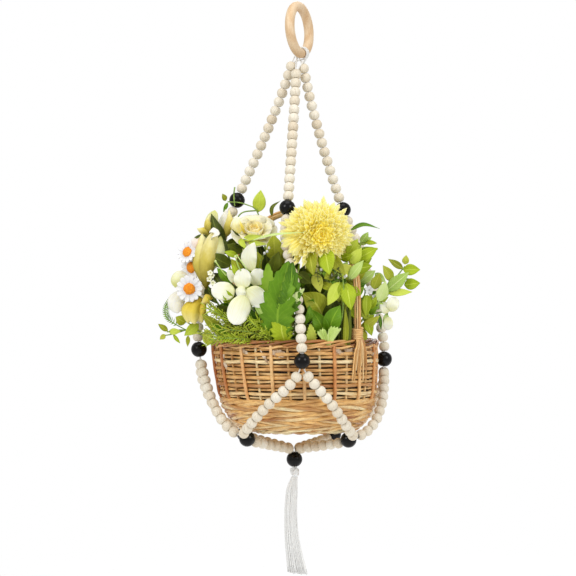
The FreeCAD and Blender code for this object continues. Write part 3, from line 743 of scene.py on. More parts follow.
def make_handle():
    """Canes laid side by side along the arch, with their ends fanned over the wall."""
    across = HANDLE_ACROSS
    mesh = Mesh()
    canes, outer, steps = 11, 8, 80
    for k in range(canes):
        angle = 2 * math.pi * k / outer
        line = []
        for i in range(steps + 1):
            t = i / steps
            point, out = handle_point(t)
            ring = 3.45 if k < outer else 1.3
            ring *= 0.9 + 0.1 * abs(2 * t - 1) + 0.12 * noise.noise(Vector((t * 7, k * 3.1, 0)))
            twist = angle + 1.5 * t + 0.35 * noise.noise(Vector((t * 5, k * 5.7, 4)))
            line.append(point + out * (math.cos(twist) * ring) + across * (math.sin(twist) * ring))
        tube(mesh, line, rng.uniform(0.85, 1.2), sides=7)
    for sign in (1, -1):
        foot = basket_centre(RIM_Z) + HANDLE_OUT * (sign * HANDLE_REACH)
        out = HANDLE_OUT * sign
        for k in range(9):
            fan = (k - 4) * 1.55
            low = rng.uniform(-46, -24)
            line = smooth([foot + UP * 12 + across * fan * 0.7 + out * 1.5,
                           foot + across * fan + out * 5.0 - UP * 1,
                           foot + across * fan * 1.6 + out * 4.6 - UP * 12,
                           foot + across * fan * 2.0 + out * (2.6 - 0.02 * low) + UP * low], 14)
            tube(mesh, line, rng.uniform(0.8, 1.15), sides=7)
    mesh.make("handle_canes", [CANE], "basket", ["basket_handle"])


def make_bindings():
    """A cane wound round each foot of the handle."""
    turns, steps = 5, 20
    for sign, place in ((1, "front"), (-1, "back")):
        mesh = Mesh()
        foot = basket_centre(RIM_Z) + HANDLE_OUT * (sign * HANDLE_REACH)
        line = []
        for i in range(turns * steps + 1):
            turn = 2 * math.pi * i / steps
            rise = 4.8 + 12.0 * i / (turns * steps)
            reach = 5.5 + 0.3 * math.sin(turn * 3.1)
            line.append(foot + UP * rise + HANDLE_OUT * (math.cos(turn) * reach)
                        + HANDLE_ACROSS * (math.sin(turn) * reach * 1.1))
        tube(mesh, line, 1.3)
        mesh.make("binding_" + place, [CANE], "basket", ["handle_binding_" + place])


def make_liner_edges():
    """Creased scraps of the clear liner that show through the weave under the border."""
    mesh = Mesh()
    for degrees, high, low, wide in [(-150, -384, -412, 5), (-128, -383, -390, 7),
                                     (-112, -385, -400, 5), (-101, -387, -391, 11),
                                     (-58, -384, -391, 7), (-49, -385, -389, 9),
                                     (-20, -385, -396, 5), (40, -385, -395, 6),
                                     (100, -385, -393, 8), (160, -385, -396, 6)]:
        angle = math.radians(degrees)
        sideways = Vector((-math.sin(angle), math.cos(angle), 0))
        top = wall_point(angle, high, 3.0)
        foot = wall_point(angle, low, 2.0)
        blade(mesh, [top - sideways * wide * 0.9, (top + foot) / 2, foot + sideways * wide * 0.9],
              wide * 0.7, outward(angle), "oval", cup=0.1, ruffle=1.3, teeth=5, depth=0.5,
              thick=0.3, rows=24, cols=5)
    mesh.make("liner_edges", [LINER], "basket")


make_side_weave()
make_lower_wale()
make_stakes()
make_border()
make_base()
make_handle()
make_bindings()
make_liner_edges()

# ---------------------------------------------------------------- knot and tassel


def make_knot():
    """An overhand knot tied in the bundle of cord ends."""
    mesh = Mesh()
    low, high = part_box("tassel_knot")
    centre = (Vector(low) + Vector(high)) / 2 / MM
    steps = 120
    for strand in range(3):
        line = []
        for i in range(steps):
            t = 2 * math.pi * i / steps
            spot = Vector((math.sin(t) + 2 * math.sin(2 * t), math.cos(t) - 2 * math.cos(2 * t), 0))
            rise = -math.sin(3 * t) * 1.9 + (strand - 1) * 1.5
            reach = 1.55 + 0.12 * math.cos(3 * t + strand)
            line.append(centre + Vector((spot.x * reach, spot.y * reach, rise)))
        tube(mesh, line, 1.05, joined=True)
    ends = 8
    for k in range(ends):
        out = outward(2 * math.pi * k / ends)
        tube(mesh, smooth([centre + out * 1.6 + UP * 5.3, centre + out * 2.2 + UP * 3.5,
                           centre + out * 1.2], 6), 0.8, sides=6)
    blob(mesh, centre, (4.4, 4.4, 4.0), 0, 0.15)
    mesh.make("cord_knot", [THREAD], "tassel_knot", ["tassel_knot"])


def make_tassel():
    """Soft threads in a few clumps, which spread to a slanting bottom edge."""
    mesh = Mesh()
    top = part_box("tassel")[1][2] / MM
    axis = Vector((-4.2, -13.0, 0))
    # each station: height, shift to the right, half width
    stations = [(top + 0.4, 0.0, 3.0), (top - 6, -1.6, 4.4), (-548, -3.4, 6.2), (-575, -4.6, 6.9),
                (-605, -2.9, 8.0), (-641, 3.0, 10.8)]
    last = len(stations) - 1
    threads, flat = 230, 0.72
    for k in range(threads):
        angle = rng.uniform(0, 2 * math.pi)
        reach = math.sqrt(rng.uniform(0.02, 1.0))
        clump = 0.55 * math.sin(angle * 3 + 0.6)
        shift = rng.uniform(-0.25, 0.25)
        end = rng.uniform(-2.5, 1.0)
        points = []
        for n, (height, right, half) in enumerate(stations):
            spread = reach * half * (1 + 0.16 * clump * n / last)
            turn = angle + shift * n / last
            fall = end if n == last else 0
            slant = -1.6 * math.cos(turn) * reach if n == last else 0
            points.append(axis + Vector((right + math.cos(turn) * spread,
                                         math.sin(turn) * spread * flat, height - fall + slant)))
        tube(mesh, smooth(points, 18), 0.52, sides=5)
    mesh.make("tassel_threads", [THREAD], "tassel", ["tassel"])


make_knot()
make_tassel()

# ---------------------------------------------------------------- flowers


def stem(mesh, points, radius, slot, count=16):
    """A stalk through the points, a little thinner at its end."""
    radii = [radius * (1 - 0.25 * i / count) for i in range(count + 1)]
    tube(mesh, smooth(points, count), radii, sides=7, slot=slot)


def ahead_of_strand(point):
    """Bring a point near the front strand of beads to the viewer's side of it."""
    if point.x < 5:
        point.y = min(point.y, -89.5 - 0.43 * max(0.0, -240 - point.z))
    return point


def make_chrysanthemum():
    """Long quills that radiate from a golden heart, drooping and clubbed at the bottom. Those
    on the left lie over the front strand of beads."""
    mesh = Mesh()
    outer, heart, stalk = range(3)
    centre = Vector((22.0, -84.0, -256.5))
    facing = Vector((0.22, -1.0, -0.06)).normalized()
    right = facing.cross(UP).normalized() * -1
    over = facing.cross(right).normalized()
    quills = 270
    for k in range(quills):
        t = (k + 0.5) / quills
        angle = k * GOLDEN_ANGLE
        lean = math.radians(12 + 94 * t ** 0.75)
        across = math.cos(angle)
        rise = math.sin(angle)
        out = right * across + over * rise
        reach = 13 + 24 * t ** 0.7
        reach += 6.0 * abs(across) * t + 1.0 * max(0, rise) * t - 4.5 * max(0, -rise) * t
        reach *= rng.uniform(0.88, 1.06)
        way = facing * math.cos(lean) + out * math.sin(lean)
        inner = facing * math.sin(lean) - out * math.cos(lean)
        root = centre + facing * (5 - 5 * t) + out * (1.0 + 2 * t)
        droop = -UP * (6.0 * t * t * max(0.0, -rise + 0.3)) + jitter(1.3)
        tip = root + way * reach + droop + inner * rng.uniform(-1.5, 3.4)
        mid = root + way * reach * 0.55 - inner * rng.uniform(0.3, 2.2)
        lower = rise < 0.15 and t > 0.1
        width = rng.uniform(5.4, 7.2) if lower else rng.uniform(4.8, 6.2)
        blade(mesh, [root, ahead_of_strand(mid), ahead_of_strand(tip)], width, inner,
              "club" if lower else "strap", cup=0.42, rows=8, cols=2,
              slot=heart if t < 0.2 else outer)
    blob(mesh, centre + facing * 1, (11, 10, 9), heart, 0.2, facing=facing)
    blob(mesh, centre - facing * 2, (21, 19, 6), outer, 0.2, facing=facing)
    blob(mesh, centre - facing * 7, (13, 12, 5), stalk, 0.3, facing=facing)
    stem(mesh, [(16, -54, ROOT), (17, -58, -340), (20, -66, -290), centre], 1.3, stalk)
    mesh.make("chrysanthemum_bloom", [MUM, MUM_HEART, STEM], "basket", ["chrysanthemum"])


def make_rose():
    """A half-open rose: furled petals in the middle and broad rolled ones outside."""
    mesh = Mesh()
    cream, stalk, gold, green, heart = range(5)
    centre = Vector((-49.5, -52.0, -257.0))
    facing = Vector((-0.02, -0.72, 0.70)).normalized()
    for ring, (count, length, width, opening, inset) in enumerate([
            (3, 11, 9, 3, 1.6), (3, 14, 14, 13, 2.8), (4, 17, 20, 27, 4.0), (5, 20, 26, 45, 5.2),
            (5, 22, 30, 63, 5.8)]):
        petals(mesh, centre - facing * (ring * 0.5), facing, count, length, width, opening,
               cream if ring > 1 else heart, turn=ring * 41 + 20, inset=inset,
               curl=-0.3 if ring > 2 else 0.2, scatter=0.1, profile="fan",
               cup=0.5 - ring * 0.12, ruffle=0.12, thick=0.6, rows=10, cols=4)
    blob(mesh, centre + facing * 1, (5.5, 5.5, 7), heart, facing=facing)
    blob(mesh, centre - facing * 2, (12, 12, 7), cream, facing=facing)
    blade(mesh, [(-66, -72, -256), (-71, -76, -246), (-70, -72, -236)], 20, (-0.5, -1, 0.1),
          "round", cup=-0.5, ruffle=0.3, thick=0.6, cols=5)
    blade(mesh, [(-60, -76, -256), (-63, -80, -248), (-66, -77, -240)], 3.2, (-0.2, -1, 0),
          "lance", slot=gold)
    stem(mesh, [(-24, -42, ROOT), (-34, -44, -330), centre - facing * 6], 1.3, stalk)
    for angle in (30, 150, 270):
        petals(mesh, centre - facing * 7, facing, 1, 17, 5, 78, stalk, turn=angle, inset=3,
               profile="lance", cup=0.2)
    for base, tip, width in [((-62, -68, -262), (-40, -78, -258), 7),
                             ((-56, -70, -266), (-34, -80, -268), 6),
                             ((-66, -66, -262), (-58, -76, -274), 7)]:
        middle = (Vector(base) + Vector(tip)) / 2 + FRONT * 3
        blade(mesh, [base, middle, tip], width, FRONT, "lance", cup=0.3, slot=green)
    mesh.make("rose_bloom", [CREAM, STEM, GOLD, BRIGHT, CREAM_HEART], "basket", ["rose"])


def make_orchid():
    """A spray of rounded white petals with long stamens."""
    mesh = Mesh()
    white, stalk, green = range(3)
    for spine, width, cup, profile in [
            ([(-50, -88, -299), (-55, -91, -283), (-49, -94, -266)], 18, 0.08, "oval"),
            ([(-62, -97, -317), (-62, -99, -307), (-61, -99, -295)], 20, -0.05, "round"),
            ([(-50, -90, -314), (-46, -93, -305), (-43, -95, -295)], 18, 0.05, "round"),
            ([(-70, -95, -320), (-83, -98, -320), (-97, -98, -318)], 21, -0.05, "round"),
            ([(-57, -98, -317), (-47, -101, -326), (-37, -103, -336)], 22, -0.05, "round"),
            ([(-59, -103, -325), (-66, -106, -341), (-72, -107, -357)], 25, -0.05, "round"),
            ([(-66, -88, -309), (-73, -92, -303), (-79, -91, -296)], 12, 0.3, "leaf"),
            ([(-64, -96, -312), (-64, -102, -320), (-62, -101, -329)], 12, -0.4, "round")]:
        blade(mesh, spine, width, FRONT + jitter(0.2), profile, cup=cup, ruffle=1.1, thick=0.5,
              rows=16, cols=5)
    for spine in [[(-56, -94, -300), (-60, -100, -292), (-68, -98, -281)],
                  [(-60, -94, -303), (-66, -101, -294), (-70, -100, -282)],
                  [(-80, -92, -303), (-86, -96, -296), (-92, -95, -287)]]:
        stem(mesh, spine, 0.8, stalk, 10)
        blob(mesh, spine[-1], (1.3, 1.3, 1.6), stalk, 0.2, 6, 8)
    blade(mesh, [(-66, -95, -305), (-70, -97, -298), (-73, -96, -290)], 6.5, FRONT, "oval",
          cup=0.4, slot=green)
    blade(mesh, [(-74, -92, -331), (-79, -97, -325), (-84, -96, -318)], 10, FRONT, "leaf",
          cup=0.3, slot=green)
    for spot in [(-96, -88, -303), (-99, -86, -307), (-95, -87, -311), (-98, -90, -300)]:
        petals(mesh, spot, (-0.2, -1, 0.2), 5, 3.2, 3.0, 70, white, inset=0.4,
               profile="round", rows=4, cols=2)
    stem(mesh, [(-34, -56, ROOT), (-44, -70, -360), (-60, -82, -322)], 1.2, stalk)
    stem(mesh, [(-52, -84, -322), (-46, -99, -340), (-37, -101, -352)], 1.3, stalk)
    blade(mesh, [(-48, -98, -334), (-42, -103, -343), (-35, -102, -354)], 7, FRONT, "oval",
          cup=0.5, slot=stalk)
    mesh.make("orchid_spray", [ORCHID, LIGHT, BRIGHT], "basket", ["white_orchid"])


def make_daisies():
    """Three daisies, each with two layers of strap petals round its disc."""
    mesh = Mesh()
    white, disc, stalk = range(3)
    # each layer: petals, length, opening, turn, scatter, curl, step along the axis
    layers = [(14, 10.6, 84, 7, 0.07, 0.1, 0.6), (12, 10.0, 90, 19, 0.09, 0.0, -0.6)]
    for centre, facing, size, root in [
            ((-122, -64, -317.5), (-0.12, -1, 0.04), 1.0, (-52, -32, ROOT)),
            ((-124.5, -54, -276.5), (-0.5, -0.8, 0.35), 0.88, (-46, -22, ROOT)),
            ((-120, -52, -293.5), (-0.6, -0.75, -0.05), 0.92, (-50, -26, ROOT))]:
        axis = Vector(facing).normalized()
        centre, root = Vector(centre), Vector(root)
        for count, length, opening, turn, scatter, curl, step in layers:
            petals(mesh, centre + axis * step, facing, count, length * size, 5.0 * size, opening,
                   white, turn=turn, inset=5.0 * size, scatter=scatter, curl=curl, profile="strap",
                   cup=0.12, thick=0.4, rows=8)
        blob(mesh, centre + axis * 1.4, (6.5 * size, 6.5 * size, 2.9 * size), disc, 0.22, 12,
             26, facing)
        stem(mesh, [root, root + UP * 30 + axis * 8, centre - axis * 2], 0.9, stalk)
    mesh.make("daisy_blooms", [DAISY, DISC, STEM], "basket", ["daisies"])


def make_tulips():
    """Long pale buds at the left, with cream petals beside them."""
    mesh = Mesh()
    kinds = {"bud": TULIP, "dark": DARK_AND_SHADE_LEAF, "white": BLUSH_WHITE, "gold": GOLD, "pink": PINK,
             "edged": PALE_EDGED, "stem": STEM}
    slots = list(kinds)
    for spine, kind, profile, width, face in [
            ([(-103, -58, -318), (-112, -68, -290), (-108, -62, -256)],
             "bud", "wide", 24, (-0.35, -1, 0)),
            ([(-104, -60, -318), (-101, -74, -288), (-93, -66, -252)],
             "bud", "wide", 25, (0.15, -1, 0)),
            ([(-100, -56, -300), (-88, -66, -280), (-87, -58, -258)],
             "edged", "wide", 15, (0.5, -1, 0)),
            ([(-98, -52, -300), (-98, -54, -275), (-100, -50, -249)],
             "dark", "wide", 24, (0.1, -1, 0)),
            ([(-96, -66, -262), (-94, -72, -255), (-95, -66, -249)],
             "white", "round", 12, (0, -0.6, 1)),
            ([(-100, -52, -258), (-106, -54, -252), (-114, -52, -250)],
             "bud", "oval", 10, (-0.3, -1, 0.4)),
            ([(-86, -46, -266), (-98, -50, -246), (-94, -48, -229)],
             "edged", "wide", 19, (-0.2, -1, 0.1)),
            ([(-84, -50, -266), (-103, -56, -246), (-99, -50, -234)],
             "bud", "leaf", 11, (-0.5, -1, 0.1)),
            ([(-82, -52, -276), (-92, -60, -252), (-98, -53, -233)],
             "dark", "leaf", 15, (-0.1, -1, 0.1)),
            ([(-84, -50, -262), (-76, -56, -246), (-78, -52, -228)],
             "bud", "leaf", 12, (0.4, -1, 0)),
            ([(-84, -44, -258), (-84, -42, -244), (-82, -40, -228)],
             "white", "leaf", 14, (0, -1, 0)),
            ([(-110, -58, -326), (-124, -68, -340), (-124, -64, -356)],
             "gold", "wide", 22, (-0.3, -1, 0)),
            ([(-108, -60, -328), (-116, -72, -342), (-116, -68, -357)],
             "gold", "wide", 21, (0.2, -1, 0)),
            ([(-104, -58, -328), (-106, -66, -342), (-108, -62, -356)],
             "gold", "wide", 16, (0.6, -1, 0)),
            ([(-96, -62, -328), (-101, -68, -330), (-109, -64, -334)],
             "gold", "oval", 12, (0, -1, -0.3)),
            ([(-128, -50, -322), (-137, -57, -332), (-136, -54, -345)],
             "white", "round", 20, FRONT),
            ([(-124, -50, -303), (-134, -54, -306), (-139, -52, -316)],
             "edged", "round", 17, FRONT),
            ([(-109, -56, -268), (-114, -62, -266), (-120, -58, -263)],
             "pink", "round", 12, FRONT)]:
        blade(mesh, spine, width, face, profile,
              cup=-0.5 if kind in ("bud", "dark", "gold") else -0.2, ruffle=0.5, thick=0.55,
              rows=16, cols=5, slot=slots.index(kind))
    for spine, radius in [([(-40, -36, ROOT), (-80, -50, -350), (-103, -56, -314)], 1.3),
                          ([(-34, -20, ROOT), (-64, -36, -320), (-86, -46, -262)], 1.3),
                          ([(-56, -44, ROOT), (-86, -54, -372), (-112, -56, -332)], 1.1)]:
        stem(mesh, spine, radius, slots.index("stem"))
    mesh.make("bud_blooms", list(kinds.values()), "basket", ["tulip_buds"])


make_chrysanthemum()
make_rose()
make_orchid()
make_daisies()
make_tulips()

# ---------------------------------------------------------------- leaves

# A leaf spray's slots, in the order of LEAF_SLOTS. EXTRA is the first of its own materials.
# The dark tone is dark green that partly stands in as painted shade inside the foliage.
TONES = ["bright", "middle", "dark", "light", "olive"]
BRIGHT_LEAF, MIDDLE_LEAF, DARK_AND_SHADE_SLOT, LIGHT_LEAF, OLIVE_LEAF, STALK, FINE_TWIG, EXTRA = range(8)
LEAF_SLOTS = [BRIGHT, MIDDLE, DARK_AND_SHADE_LEAF, LIGHT, OLIVE, STEM, TWIG]


def leaves(mesh, table, face=FRONT, **shape):
    """Leaves given as (base, tip, width, tone), each bowed a little towards the viewer."""
    for base, tip, width, tone in table:
        base, tip = Vector(base), Vector(tip)
        turn = Vector(face) + jitter(0.35)
        middle = (base + tip) / 2 + Vector(face) * ((tip - base).length * rng.uniform(0.03, 0.14))
        blade(mesh, [base, middle, tip], width, turn, slot=TONES.index(tone), **shape)


def crimped_leaf(mesh, root, reach, slot):
    """A pleated fan with a toothed top edge that is notched in the middle."""
    rings, places = [], []
    steps, notch = 36, 0.46
    for k in range(steps + 1):
        t = k / steps
        lean = math.radians(-38 + 72 * t)
        far = reach * (0.92 + 0.10 * (k % 4) / 3 + 0.18 * t)
        far *= 1 - 0.34 * math.exp(-((t - notch) / 0.07) ** 2)
        pleat = 0.9 * math.cos(t * 9 * math.pi)
        ring, place = [], []
        for layer in (0.25, -0.25):
            for i in range(7):
                u = (i if layer > 0 else 6 - i) / 6
                ring.append(root + Vector((math.sin(lean) * far * u, -pleat * u - layer - 4 * u * u,
                                           math.cos(lean) * far * u)))
                place.append((t, u))
        rings.append(ring)
        places.append(place)
    mesh.rings(rings, places, slot)


def make_broad_leaves():
    """The toothed leaves that stand in the middle of the basket, in front of the beads."""
    mesh = Mesh()
    toothed = dict(profile="broad", teeth=8, depth=0.34, veins=0.6, ruffle=0.9, rows=48, cols=6,
                   thick=0.5)
    for spine, width, face, cup, slot in [
            ([(-24, -97, -374), (-22, -120, -334), (-11, -120, -287)], 40, (-0.12, -1, 0), 0.16,
             MIDDLE_LEAF),
            ([(-18, -115, -344), (-10, -123, -328), (-7, -122, -288)], 27, (0.1, -1, 0), 0.1,
             MIDDLE_LEAF),
            ([(-14, -118, -339), (-5, -123, -329), (6, -122, -317)], 11, (0.3, -1, 0), 0.1,
             LIGHT_LEAF),
            ([(-30, -90, -350), (-33, -97, -320), (-34, -97, -289)], 21, (-0.3, -1, 0), 0.2,
             MIDDLE_LEAF),
            ([(-15, -101, -378), (-19, -109, -360), (-15, -109, -339)], 25, (-0.1, -1, 0), 0.15,
             BRIGHT_LEAF),
            ([(13, -96, -381), (14, -101, -370), (13, -100, -356)], 13, FRONT, 0.1, BRIGHT_LEAF),
            ([(8, -94, -356), (12, -100, -346), (12, -99, -336)], 9, (0.3, -1, 0), 0.1,
             MIDDLE_LEAF)]:
        blade(mesh, spine, width, face, cup=cup, slot=slot, **toothed)
    crimped_leaf(mesh, Vector((33, -99, -383)), 22, LIGHT_LEAF)
    for spine, width, face, cup, slot in [
            ([(32, -88, -370), (38, -96, -350), (46, -94, -336)], 20, FRONT, 0.2, MIDDLE_LEAF),
            ([(30, -84, -372), (24, -94, -356), (14, -92, -340)], 18, (-0.2, -1, 0.1), 0.2,
             MIDDLE_LEAF),
            ([(28, -78, -350), (19, -92, -334), (4, -92, -322)], 27, (0, -1, 0.2), 0.15,
             OLIVE_LEAF),
            ([(20, -76, -352), (28, -88, -334), (34, -88, -318)], 20, (0.1, -1, 0.1), 0.15,
             DARK_AND_SHADE_SLOT)]:
        blade(mesh, spine, width, face, cup=cup, slot=slot, ruffle=0.5, rows=20, cols=5)
    for k in range(14):
        right = 45 + k * 0.75 + rng.uniform(-1.5, 1.5)
        foot = Vector((right, rng.uniform(-86, -66), -384))
        blade(mesh, [foot, foot + Vector((1, -3, 26)), foot + Vector((rng.uniform(-4, 3), -3, 50))],
              rng.uniform(4, 7), FRONT + jitter(0.3), "lance",
              slot=rng.choice([DARK_AND_SHADE_SLOT, DARK_AND_SHADE_SLOT, OLIVE_LEAF]), rows=14)
    for spine in [[(-14, -60, ROOT), (-18, -80, -390), (-22, -97, -374)],
                  [(2, -60, ROOT), (16, -80, -388), (33, -90, -380)],
                  [(30, -52, ROOT), (32, -70, -380), (28, -78, -350)]]:
        stem(mesh, spine, 1.1, STALK)
    mesh.make("broad_leaf_spray", LEAF_SLOTS, "basket", ["broad_leaves"])


def make_front_leaves():
    """Smooth leaves below the blooms and down the right side, on their branches."""
    mesh = Mesh()
    leaves(mesh, [
        ((46, -84, -310), (32, -95, -336), 15, "bright"),
        ((48, -84, -310), (50, -94, -333), 11, "bright"),
        ((53, -84, -311), (58, -96, -341), 17, "bright"),
        ((77, -58, -324), (75, -64, -349), 11, "bright"),
        ((56, -80, -307), (72, -90, -286), 12, "light"),
        ((29, -90, -273), (34, -106, -302), 20, "bright"),
        ((11, -88, -271), (16, -102, -303), 16, "olive"),
        ((-26, -70, -286), (-28, -78, -257), 21, "olive"),
        ((24, -80, -311), (41, -90, -320), 12, "olive"),
        ((34, -78, -279), (52, -90, -302), 14, "olive"),
        ((66, -76, -284), (88, -80, -272), 13, "bright"),
        ((62, -74, -296), (82, -78, -292), 13, "bright"),
        ((58, -78, -290), (70, -86, -272), 13, "bright"),
        ((60, -76, -302), (48, -88, -290), 13, "olive"),
        ((56, -72, -318), (70, -80, -324), 12, "bright"),
        ((18, -80, -300), (24, -92, -322), 13, "olive"),
        ((54, -72, -280), (66, -82, -262), 12, "bright"),
        ((46, -74, -284), (60, -86, -280), 11, "bright"),
        ((0, -76, -300), (14, -88, -312), 14, "dark"),
        ((40, -74, -300), (28, -86, -306), 12, "olive"),
        ((58, -70, -336), (66, -78, -352), 11, "bright"),
        ((60, -68, -350), (54, -76, -370), 10, "dark"),
        ((76, -56, -352), (82, -62, -370), 11, "bright"),
        ((70, -58, -362), (74, -62, -380), 11, "olive"),
        ((50, -76, -340), (54, -84, -364), 10, "olive"),
        ((-14, -62, -290), (-22, -70, -266), 15, "olive"),
        ((-4, -64, -286), (0, -70, -262), 13, "dark"),
        ((-30, -70, -300), (-22, -80, -276), 15, "dark"),
        ((12, -72, -376), (22, -82, -350), 16, "dark"),
        ((40, -72, -378), (48, -80, -352), 15, "dark"),
        ((26, -70, -352), (16, -80, -330), 15, "dark"),
        ((52, -66, -372), (60, -72, -348), 14, "dark"),
        ((0, -74, -376), (6, -84, -350), 15, "dark"),
        ((44, -68, -350), (36, -78, -326), 15, "dark"),
        ((56, -64, -346), (50, -74, -320), 14, "dark"),
        ((8, -74, -342), (2, -84, -318), 14, "dark"),
        ((14, -60, -332), (12, -70, -304), 16, "dark"),
        ((22, -62, -326), (26, -72, -300), 15, "dark"),
        ((4, -62, -330), (2, -70, -306), 15, "dark"),
        ((-34, -64, -300), (-36, -72, -278), 14, "dark"),
        ((70, -60, -266), (78, -64, -254), 9, "light"),
        ((74, -60, -265), (88, -64, -266.5), 5.5, "bright"),
        ((72, -60, -275), (89, -66, -273), 8, "bright"),
        ((69, -60, -273), (61, -64, -268), 7, "bright"),
        ((69, -60, -292), (82, -66, -283), 9, "bright"),
        ((63, -62, -296), (71, -68, -284), 12, "bright"),
        ((63, -64, -308), (50, -74, -291), 14, "bright"),
        ((68, -58, -311), (86, -62, -297), 13, "light"),
        ((66, -60, -282), (58, -66, -276), 8, "light"),
        ((64, -64, -318), (54, -76, -326), 12, "bright"),
        ((74, -56, -324), (74, -62, -348), 9, "bright"),
        ((69, -56, -364), (91, -60, -348), 11, "olive"),
        ((66, -54, -330), (80, -60, -334), 9, "middle"),
        ((91, -44, -346), (93, -46, -364), 4.5, "middle"),
        ((99, -40, -345), (99, -42, -364), 8, "light"),
        ((84, -50, -318), (91, -54, -300), 13, "olive"),
        ((106, -42, -309), (95, -48, -291), 12, "olive"),
        ((118, -42, -295), (101, -46, -284), 8, "olive"),
        ((120, -42, -290), (121.5, -44, -279.5), 8, "olive"),
        ((118, -42, -296), (137, -46, -296), 13, "bright"),
        ((99, -46, -320), (124, -52, -299), 15, "light"),
        ((119, -44, -313), (137, -48, -311), 13, "bright"),
        ((100, -46, -322), (128, -50, -321), 9, "bright"),
        ((90, -50, -332), (98, -54, -309), 15, "light"),
        ((86, -48, -300), (98, -52, -310), 9, "light"),
        ((80, -50, -340), (88, -54, -326), 9, "bright"),
        ((78, -50, -352), (70, -58, -338), 9, "bright"),
        ((60, -60, -352), (52, -70, -362), 9, "dark")])
    blade(mesh, [(58, -58, -252), (73, -62, -246), (91, -60, -250)], 8, (0, -0.8, 1), "lance",
          slot=MIDDLE_LEAF, rows=16)
    blade(mesh, [(-52, -90, -264), (-26, -102, -258), (8, -110, -255)], 7.5, (0, -0.5, 1), "lance",
          slot=LIGHT_LEAF, rows=18)
    blade(mesh, [(-30, -56, -236), (-29, -60, -226), (-20, -58, -218.5)], 5.5, (-0.6, -1, 0.2),
          "lance", slot=DARK_AND_SHADE_SLOT, rows=14)
    for spine in [[(30, -38, ROOT), (58, -58, -350), (64, -62, -305), (70, -60, -262)],
                  [(52, -42, ROOT), (84, -48, -345), (100, -44, -318), (120, -42, -292)],
                  [(100, -44, -318), (112, -44, -310), (124, -44, -306)],
                  [(64, -62, -312), (74, -58, -318), (74, -56, -326)],
                  [(56, -52, -372), (72, -52, -352), (92, -44, -344), (101, -42, -346)],
                  [(43, -60, -380), (48, -88, -350), (50, -90, -322), (49, -86, -306)],
                  [(48, -28, ROOT), (50, -60, -340), (42, -80, -300), (28, -86, -290)]]:
        stem(mesh, spine, 1.0, STALK)
    tones = [BRIGHT_LEAF, BRIGHT_LEAF, OLIVE_LEAF, LIGHT_LEAF, MIDDLE_LEAF]
    for spine, count in [([(58, -52, -350), (64, -56, -305), (70, -56, -268)], 18),
                         ([(66, -44, -360), (84, -44, -338), (100, -42, -318)], 12),
                         ([(50, -62, -356), (60, -60, -330), (62, -62, -300)], 14)]:
        line = smooth(spine, count)
        stem(mesh, spine, 0.8, STALK)
        for i, spot in enumerate(line[1:]):
            side = 1 if i % 2 else -1
            tip = spot + Vector((side * rng.uniform(9, 14), rng.uniform(-8, -2),
                                 rng.uniform(4, 11)))
            blade(mesh, [spot, (spot + tip) / 2 + FRONT * 1.5, tip], rng.uniform(6.5, 9.5),
                  FRONT + jitter(0.4), slot=rng.choice(tones), cup=0.25, rows=10)
    for k in range(26):
        start = Vector((rng.uniform(14, 50), rng.uniform(-88, -78), rng.uniform(-312, -292)))
        stem(mesh, [start, start + jitter(5), start + jitter(9)], 0.6, FINE_TWIG, 6)
        if k % 3 == 0:
            blob(mesh, start + jitter(6), (1.6, 1.6, 1.8), EXTRA, 0.3, 5, 7)
    for spine, width in [([(103, -46, -343), (106, -50, -335), (109, -48, -327)], 14),
                         ([(100, -44, -345), (97, -48, -339), (95, -46, -332)], 11),
                         ([(100, -44, -349), (101, -47, -357), (99, -45, -364)], 11)]:
        blade(mesh, spine, width, FRONT, "round", cup=0.1, ruffle=0.4, cols=4, slot=EXTRA + 1)
    for centre, size in [((79, -56, -319), 5), ((86, -52, -327), 3.5)]:
        petals(mesh, centre, (0.2, -1, 0.1), 5, size, size * 0.9, 72, EXTRA, inset=0.6,
               profile="round", rows=6)
    mesh.make("right_leaf_spray", LEAF_SLOTS + [DAISY, ORCHID], "basket", ["right_branches"])


